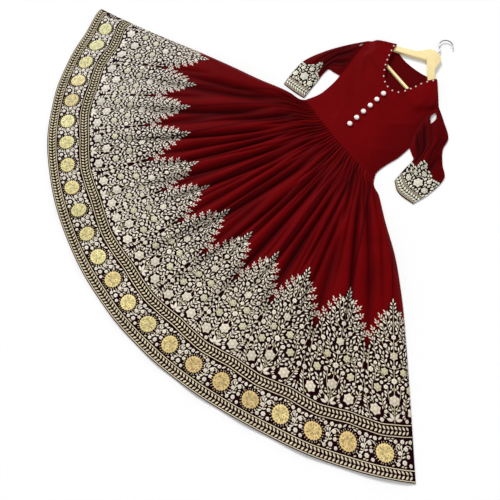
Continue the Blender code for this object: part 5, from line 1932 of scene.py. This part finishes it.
def make_buttons(material):
    """Domed buttons with a narrow foot and a rim, one over each of the part's buttons."""
    pieces = []
    for number in range(1, BUTTON_COUNT + 1):
        low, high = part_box(f"button_{number}")
        base, tall = low[2], high[2] - low[2]
        centre = ((low[0] + high[0]) / 2 - ORIGIN[0], (low[1] + high[1]) / 2 - ORIGIN[1], base)
        profile = [(0.0040, 0.0), (0.0078, 0.0004), (BUTTON_RADIUS, tall * 0.30)]
        for step in range(1, 13):
            turn = pi / 2 * step / 12.5
            profile.append((BUTTON_RADIUS * cos(turn) ** 0.45, tall * (0.30 + 0.70 * sin(turn) ** 0.75)))
        piece = new_piece(f"pearl_button_{number}", *lathe(profile, 40, centre), material, "button")
        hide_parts(f"button_{number}")
        pieces.append(piece)
    return pieces


def rounded_copy(node_name, name, width, material):
    """One of the hanger's own solids with its edges rounded over."""
    source = bpy.data.objects[node_name]
    shape = bmesh.new()
    shape.from_mesh(source.data)
    shape.transform(source.matrix_world)
    bmesh.ops.remove_doubles(shape, verts=shape.verts, dist=0.000001)
    bmesh.ops.dissolve_limit(shape, angle_limit=radians(2), verts=shape.verts, edges=shape.edges)
    sharp = [edge for edge in shape.edges if edge.calc_face_angle(0.0) > radians(35)]
    bmesh.ops.bevel(shape, geom=sharp, offset=width, segments=3, profile=0.5, affect="EDGES",
                    clamp_overlap=True)
    mesh = bpy.data.meshes.new(name)
    shape.to_mesh(mesh)
    shape.free()
    piece = placed(name, mesh)
    mesh.materials.append(material)
    mesh.polygons.foreach_set("use_smooth", [True] * len(mesh.polygons))
    mesh.set_sharp_from_angle(angle=radians(40))
    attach(piece, "root")
    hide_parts(node_name)


def new_material(name):
    material = bpy.data.materials.new(name)
    material.use_nodes = True
    tree = material.node_tree
    return material, tree, tree.nodes["Principled BSDF"]


def node(tree, kind, **inputs):
    made = tree.nodes.new(kind)
    for key, value in inputs.items():
        made.inputs[key.replace("_", " ")].default_value = value
    return made


def colour_of(look):
    return (*linear(look), 1.0)


def ramp(tree, low, high, low_look, high_look):
    made = tree.nodes.new("ShaderNodeValToRGB")
    made.color_ramp.elements[0].position = low
    made.color_ramp.elements[1].position = high
    made.color_ramp.elements[0].color = colour_of(low_look)
    made.color_ramp.elements[1].color = colour_of(high_look)
    return made


def cloth_material():
    """Smooth maroon crepe: slight unevenness, a fine weave, painted shade deep in its folds, and painted shade
    where it is embroidered.
    """
    material, tree, shader = new_material("maroon_crepe")
    link = tree.links.new
    place = node(tree, "ShaderNodeUVMap")
    place.uv_map = "cloth"
    cloud = node(tree, "ShaderNodeTexNoise", Scale=9.0, Detail=3.0, Roughness=0.5)
    link(place.outputs["UV"], cloud.inputs["Vector"])
    tint = ramp(tree, 0.30, 0.75, MAROON_DEEP, MAROON)
    link(cloud.outputs["Fac"], tint.inputs["Fac"])
    # Painted shade: one share darkens the cloth in its folds, the other among the embroidery
    ground = tree.nodes.new("ShaderNodeAttribute")
    ground.attribute_name = "ground"
    depth = tree.nodes.new("ShaderNodeAttribute")
    depth.attribute_name = "depth"
    fold_shaded = tree.nodes.new("ShaderNodeMix")
    fold_shaded.data_type = "RGBA"
    link(depth.outputs["Fac"], fold_shaded.inputs["Factor"])
    link(tint.outputs["Color"], fold_shaded.inputs["A"])
    fold_shaded.inputs["B"].default_value = colour_of(MAROON_FOLD_SHADE)
    gap_shaded = tree.nodes.new("ShaderNodeMix")
    gap_shaded.data_type = "RGBA"
    link(ground.outputs["Fac"], gap_shaded.inputs["Factor"])
    link(fold_shaded.outputs["Result"], gap_shaded.inputs["A"])
    gap_shaded.inputs["B"].default_value = colour_of(PAINTED_GAP_SHADE)
    link(gap_shaded.outputs["Result"], shader.inputs["Base Color"])
    weave = node(tree, "ShaderNodeTexNoise", Scale=900.0, Detail=2.0, Roughness=0.6)
    link(place.outputs["UV"], weave.inputs["Vector"])
    crinkle = node(tree, "ShaderNodeTexNoise", Scale=60.0, Detail=3.0, Roughness=0.55)
    link(place.outputs["UV"], crinkle.inputs["Vector"])
    fine = node(tree, "ShaderNodeBump", Strength=0.25, Distance=0.0003)
    link(weave.outputs["Fac"], fine.inputs["Height"])
    broad = node(tree, "ShaderNodeBump", Strength=0.25, Distance=0.0010)
    link(crinkle.outputs["Fac"], broad.inputs["Height"])
    link(fine.outputs["Normal"], broad.inputs["Normal"])
    link(broad.outputs["Normal"], shader.inputs["Normal"])
    shader.inputs["Roughness"].default_value = 0.62
    shader.inputs["Specular IOR Level"].default_value = 0.02
    shader.inputs["Sheen Weight"].default_value = 0.03
    shader.inputs["Sheen Roughness"].default_value = 0.40
    shader.inputs["Sheen Tint"].default_value = (0.75, 0.12, 0.12, 1.0)
    return material


def thread_material():
    """Satin stitch: the colour stored on the motif's points, with fine raised threads across it and painted shade
    in the grooves between them.
    """
    material, tree, shader = new_material("embroidery_thread")
    link = tree.links.new
    colour = tree.nodes.new("ShaderNodeAttribute")
    colour.attribute_name = "thread"
    place = node(tree, "ShaderNodeUVMap")
    place.uv_map = "cloth"
    threads = node(tree, "ShaderNodeTexWave", Scale=260.0, Distortion=2.0, Detail=1.0)
    threads.bands_direction = "X"
    link(place.outputs["UV"], threads.inputs["Vector"])
    # Painted shade in the grooves between the satin threads, broken up by a random speckle
    shade = tree.nodes.new("ShaderNodeMix")
    shade.data_type = "RGBA"
    shade.blend_type = "MULTIPLY"
    shade.inputs["Factor"].default_value = 0.24
    link(colour.outputs["Color"], shade.inputs["A"])
    grey = tree.nodes.new("ShaderNodeValToRGB")
    grey.color_ramp.elements[0].color = (0.35, 0.32, 0.28, 1.0)
    speckle = node(tree, "ShaderNodeTexNoise", Scale=420.0, Detail=2.0, Roughness=0.6)
    link(place.outputs["UV"], speckle.inputs["Vector"])
    blend = tree.nodes.new("ShaderNodeMath")
    blend.operation = "MULTIPLY"
    link(threads.outputs["Fac"], blend.inputs[0])
    link(speckle.outputs["Fac"], blend.inputs[1])
    grey.color_ramp.elements[1].position = 0.55
    link(blend.outputs["Value"], grey.inputs["Fac"])
    link(grey.outputs["Color"], shade.inputs["B"])
    link(shade.outputs["Result"], shader.inputs["Base Color"])
    bump = node(tree, "ShaderNodeBump", Strength=0.5, Distance=0.0002)
    link(threads.outputs["Fac"], bump.inputs["Height"])
    link(bump.outputs["Normal"], shader.inputs["Normal"])
    shader.inputs["Roughness"].default_value = 0.50
    shader.inputs["Sheen Weight"].default_value = 0.10
    return material


def stitch_material():
    """Twisted sewing thread a shade lighter than the cloth."""
    material, tree, shader = new_material("sewing_thread")
    link = tree.links.new
    place = tree.nodes.new("ShaderNodeTexCoord")
    twist = node(tree, "ShaderNodeTexNoise", Scale=1800.0, Detail=1.0)
    link(place.outputs["Object"], twist.inputs["Vector"])
    tint = ramp(tree, 0.3, 0.7, MAROON_DEEP, STITCH)
    link(twist.outputs["Fac"], tint.inputs["Fac"])
    link(tint.outputs["Color"], shader.inputs["Base Color"])
    shader.inputs["Roughness"].default_value = 0.60
    shader.inputs["Specular IOR Level"].default_value = 0.05
    return material


def pearl_material(name, look):
    """Glossy pearly plastic, faintly clouded."""
    material, tree, shader = new_material(name)
    link = tree.links.new
    place = tree.nodes.new("ShaderNodeTexCoord")
    cloud = node(tree, "ShaderNodeTexNoise", Scale=260.0, Detail=2.0)
    link(place.outputs["Object"], cloud.inputs["Vector"])
    warm = Look(look.red, look.green - 10, look.blue - 14)
    tint = ramp(tree, 0.3, 0.7, warm, look)
    link(cloud.outputs["Fac"], tint.inputs["Fac"])
    link(tint.outputs["Color"], shader.inputs["Base Color"])
    shader.inputs["Roughness"].default_value = 0.22
    shader.inputs["Coat Weight"].default_value = 0.5
    shader.inputs["Coat Roughness"].default_value = 0.08
    return material


def wood_material():
    """Pale lacquered wood with a fine grain along the hanger."""
    material, tree, shader = new_material("pale_wood")
    link = tree.links.new
    place = tree.nodes.new("ShaderNodeTexCoord")
    turn = node(tree, "ShaderNodeMapping", Rotation=(0.0, 0.0, radians(-HANGER_TURN)), Scale=(6.0, 90.0, 90.0))
    link(place.outputs["Object"], turn.inputs["Vector"])
    grain = node(tree, "ShaderNodeTexNoise", Scale=3.0, Detail=6.0, Roughness=0.6, Distortion=0.6)
    link(turn.outputs["Vector"], grain.inputs["Vector"])
    tint = ramp(tree, 0.28, 0.62, WOOD_GRAIN, WOOD_PALE)
    link(grain.outputs["Fac"], tint.inputs["Fac"])
    link(tint.outputs["Color"], shader.inputs["Base Color"])
    bump = node(tree, "ShaderNodeBump", Strength=0.15, Distance=0.0004)
    link(grain.outputs["Fac"], bump.inputs["Height"])
    link(bump.outputs["Normal"], shader.inputs["Normal"])
    shader.inputs["Roughness"].default_value = 0.38
    shader.inputs["Coat Weight"].default_value = 0.25
    return material


def wire_material():
    """Bright drawn wire with faint marks."""
    material, tree, shader = new_material("bright_wire")
    link = tree.links.new
    place = tree.nodes.new("ShaderNodeTexCoord")
    marks = node(tree, "ShaderNodeTexNoise", Scale=700.0, Detail=2.0)
    link(place.outputs["Object"], marks.inputs["Vector"])
    tint = ramp(tree, 0.3, 0.8, Look(WIRE.red - 30, WIRE.green - 30, WIRE.blue - 28), WIRE)
    link(marks.outputs["Fac"], tint.inputs["Fac"])
    link(tint.outputs["Color"], shader.inputs["Base Color"])
    shader.inputs["Metallic"].default_value = 1.0
    shader.inputs["Roughness"].default_value = 0.34
    return material


def finish_node(name, material):
    """Give a part that stays as it is a better material."""
    piece = bpy.data.objects[name]
    for slot in piece.material_slots:
        slot.material = material
    if not piece.material_slots:
        piece.data.materials.append(material)


def make_stage():
    """A pale floor, soft studio light and the photograph's camera."""
    mesh = bpy.data.meshes.new("floor")
    corners = [(x * FLOOR_HALF, y * FLOOR_HALF, -FLOOR_DROP) for x, y in ((-1, -1), (1, -1), (1, 1), (-1, 1))]
    mesh.from_pydata(corners, [], [[0, 1, 2, 3]])
    floor = placed("floor", mesh)
    material, _, shader = new_material("pale_floor")
    shader.inputs["Base Color"].default_value = colour_of(FLOOR)
    shader.inputs["Roughness"].default_value = 0.9
    mesh.materials.append(material)

    world = bpy.data.worlds.new("studio")
    world.use_nodes = True
    world.node_tree.nodes["Background"].inputs["Color"].default_value = (1.0, 1.0, 1.0, 1.0)
    world.node_tree.nodes["Background"].inputs["Strength"].default_value = 0.50
    bpy.context.scene.world = world

    for name, place, spread, power in LIGHTS:
        light = bpy.data.lights.new(name, "SUN")
        light.angle = radians(spread)
        light.energy = power
        lamp = placed(name, light)
        lamp.location = place
        lamp.rotation_euler = (-Vector(place)).to_track_quat("-Z", "Y").to_euler()

    camera = bpy.data.cameras.new("camera")
    camera.sensor_width = 36.0
    camera.sensor_fit = "HORIZONTAL"
    camera.lens = 30.233
    view = placed("camera", camera)
    right = Vector((0.6864, 0.7267, -0.0292)).normalized()
    back = Vector((0.2248, -0.1738, 0.9588)).normalized()
    up = back.cross(right).normalized()
    right = up.cross(back)
    turn = Matrix((right, up, back)).transposed().to_4x4()
    view.matrix_world = Matrix.Translation((0.41184 + ORIGIN[0], -0.76374 + ORIGIN[1], 1.35196)) @ turn
    bpy.context.scene.camera = view
    bpy.context.scene.view_settings.view_transform = "Standard"


def main():
    cloth = cloth_material()
    thread = thread_material()
    stitch = stitch_material()
    pearl = pearl_material("neck_pearls", PEARL)
    button = pearl_material("pearly_buttons", BUTTON)
    skirt_front, skirt_back, embroidery = main_skirt(cloth, thread)
    bodice_front, bodice_back, bodice_top = make_bodice(cloth)
    sleeves = make_sleeves(cloth, thread, stitch)
    neck = [*make_neck(cloth, pearl, bodice_top), make_bodice_stitching(stitch, bodice_top)]
    buttons = make_buttons(button)
    wood = wood_material()
    rounded_copy("hanger_yoke", "hanger_yoke_wood", 0.0022, wood)
    rounded_copy("hanger_bar", "hanger_bar_wood", 0.0028, wood)
    finish_node("hanger_hook", wire_material())
    make_stage()


main()
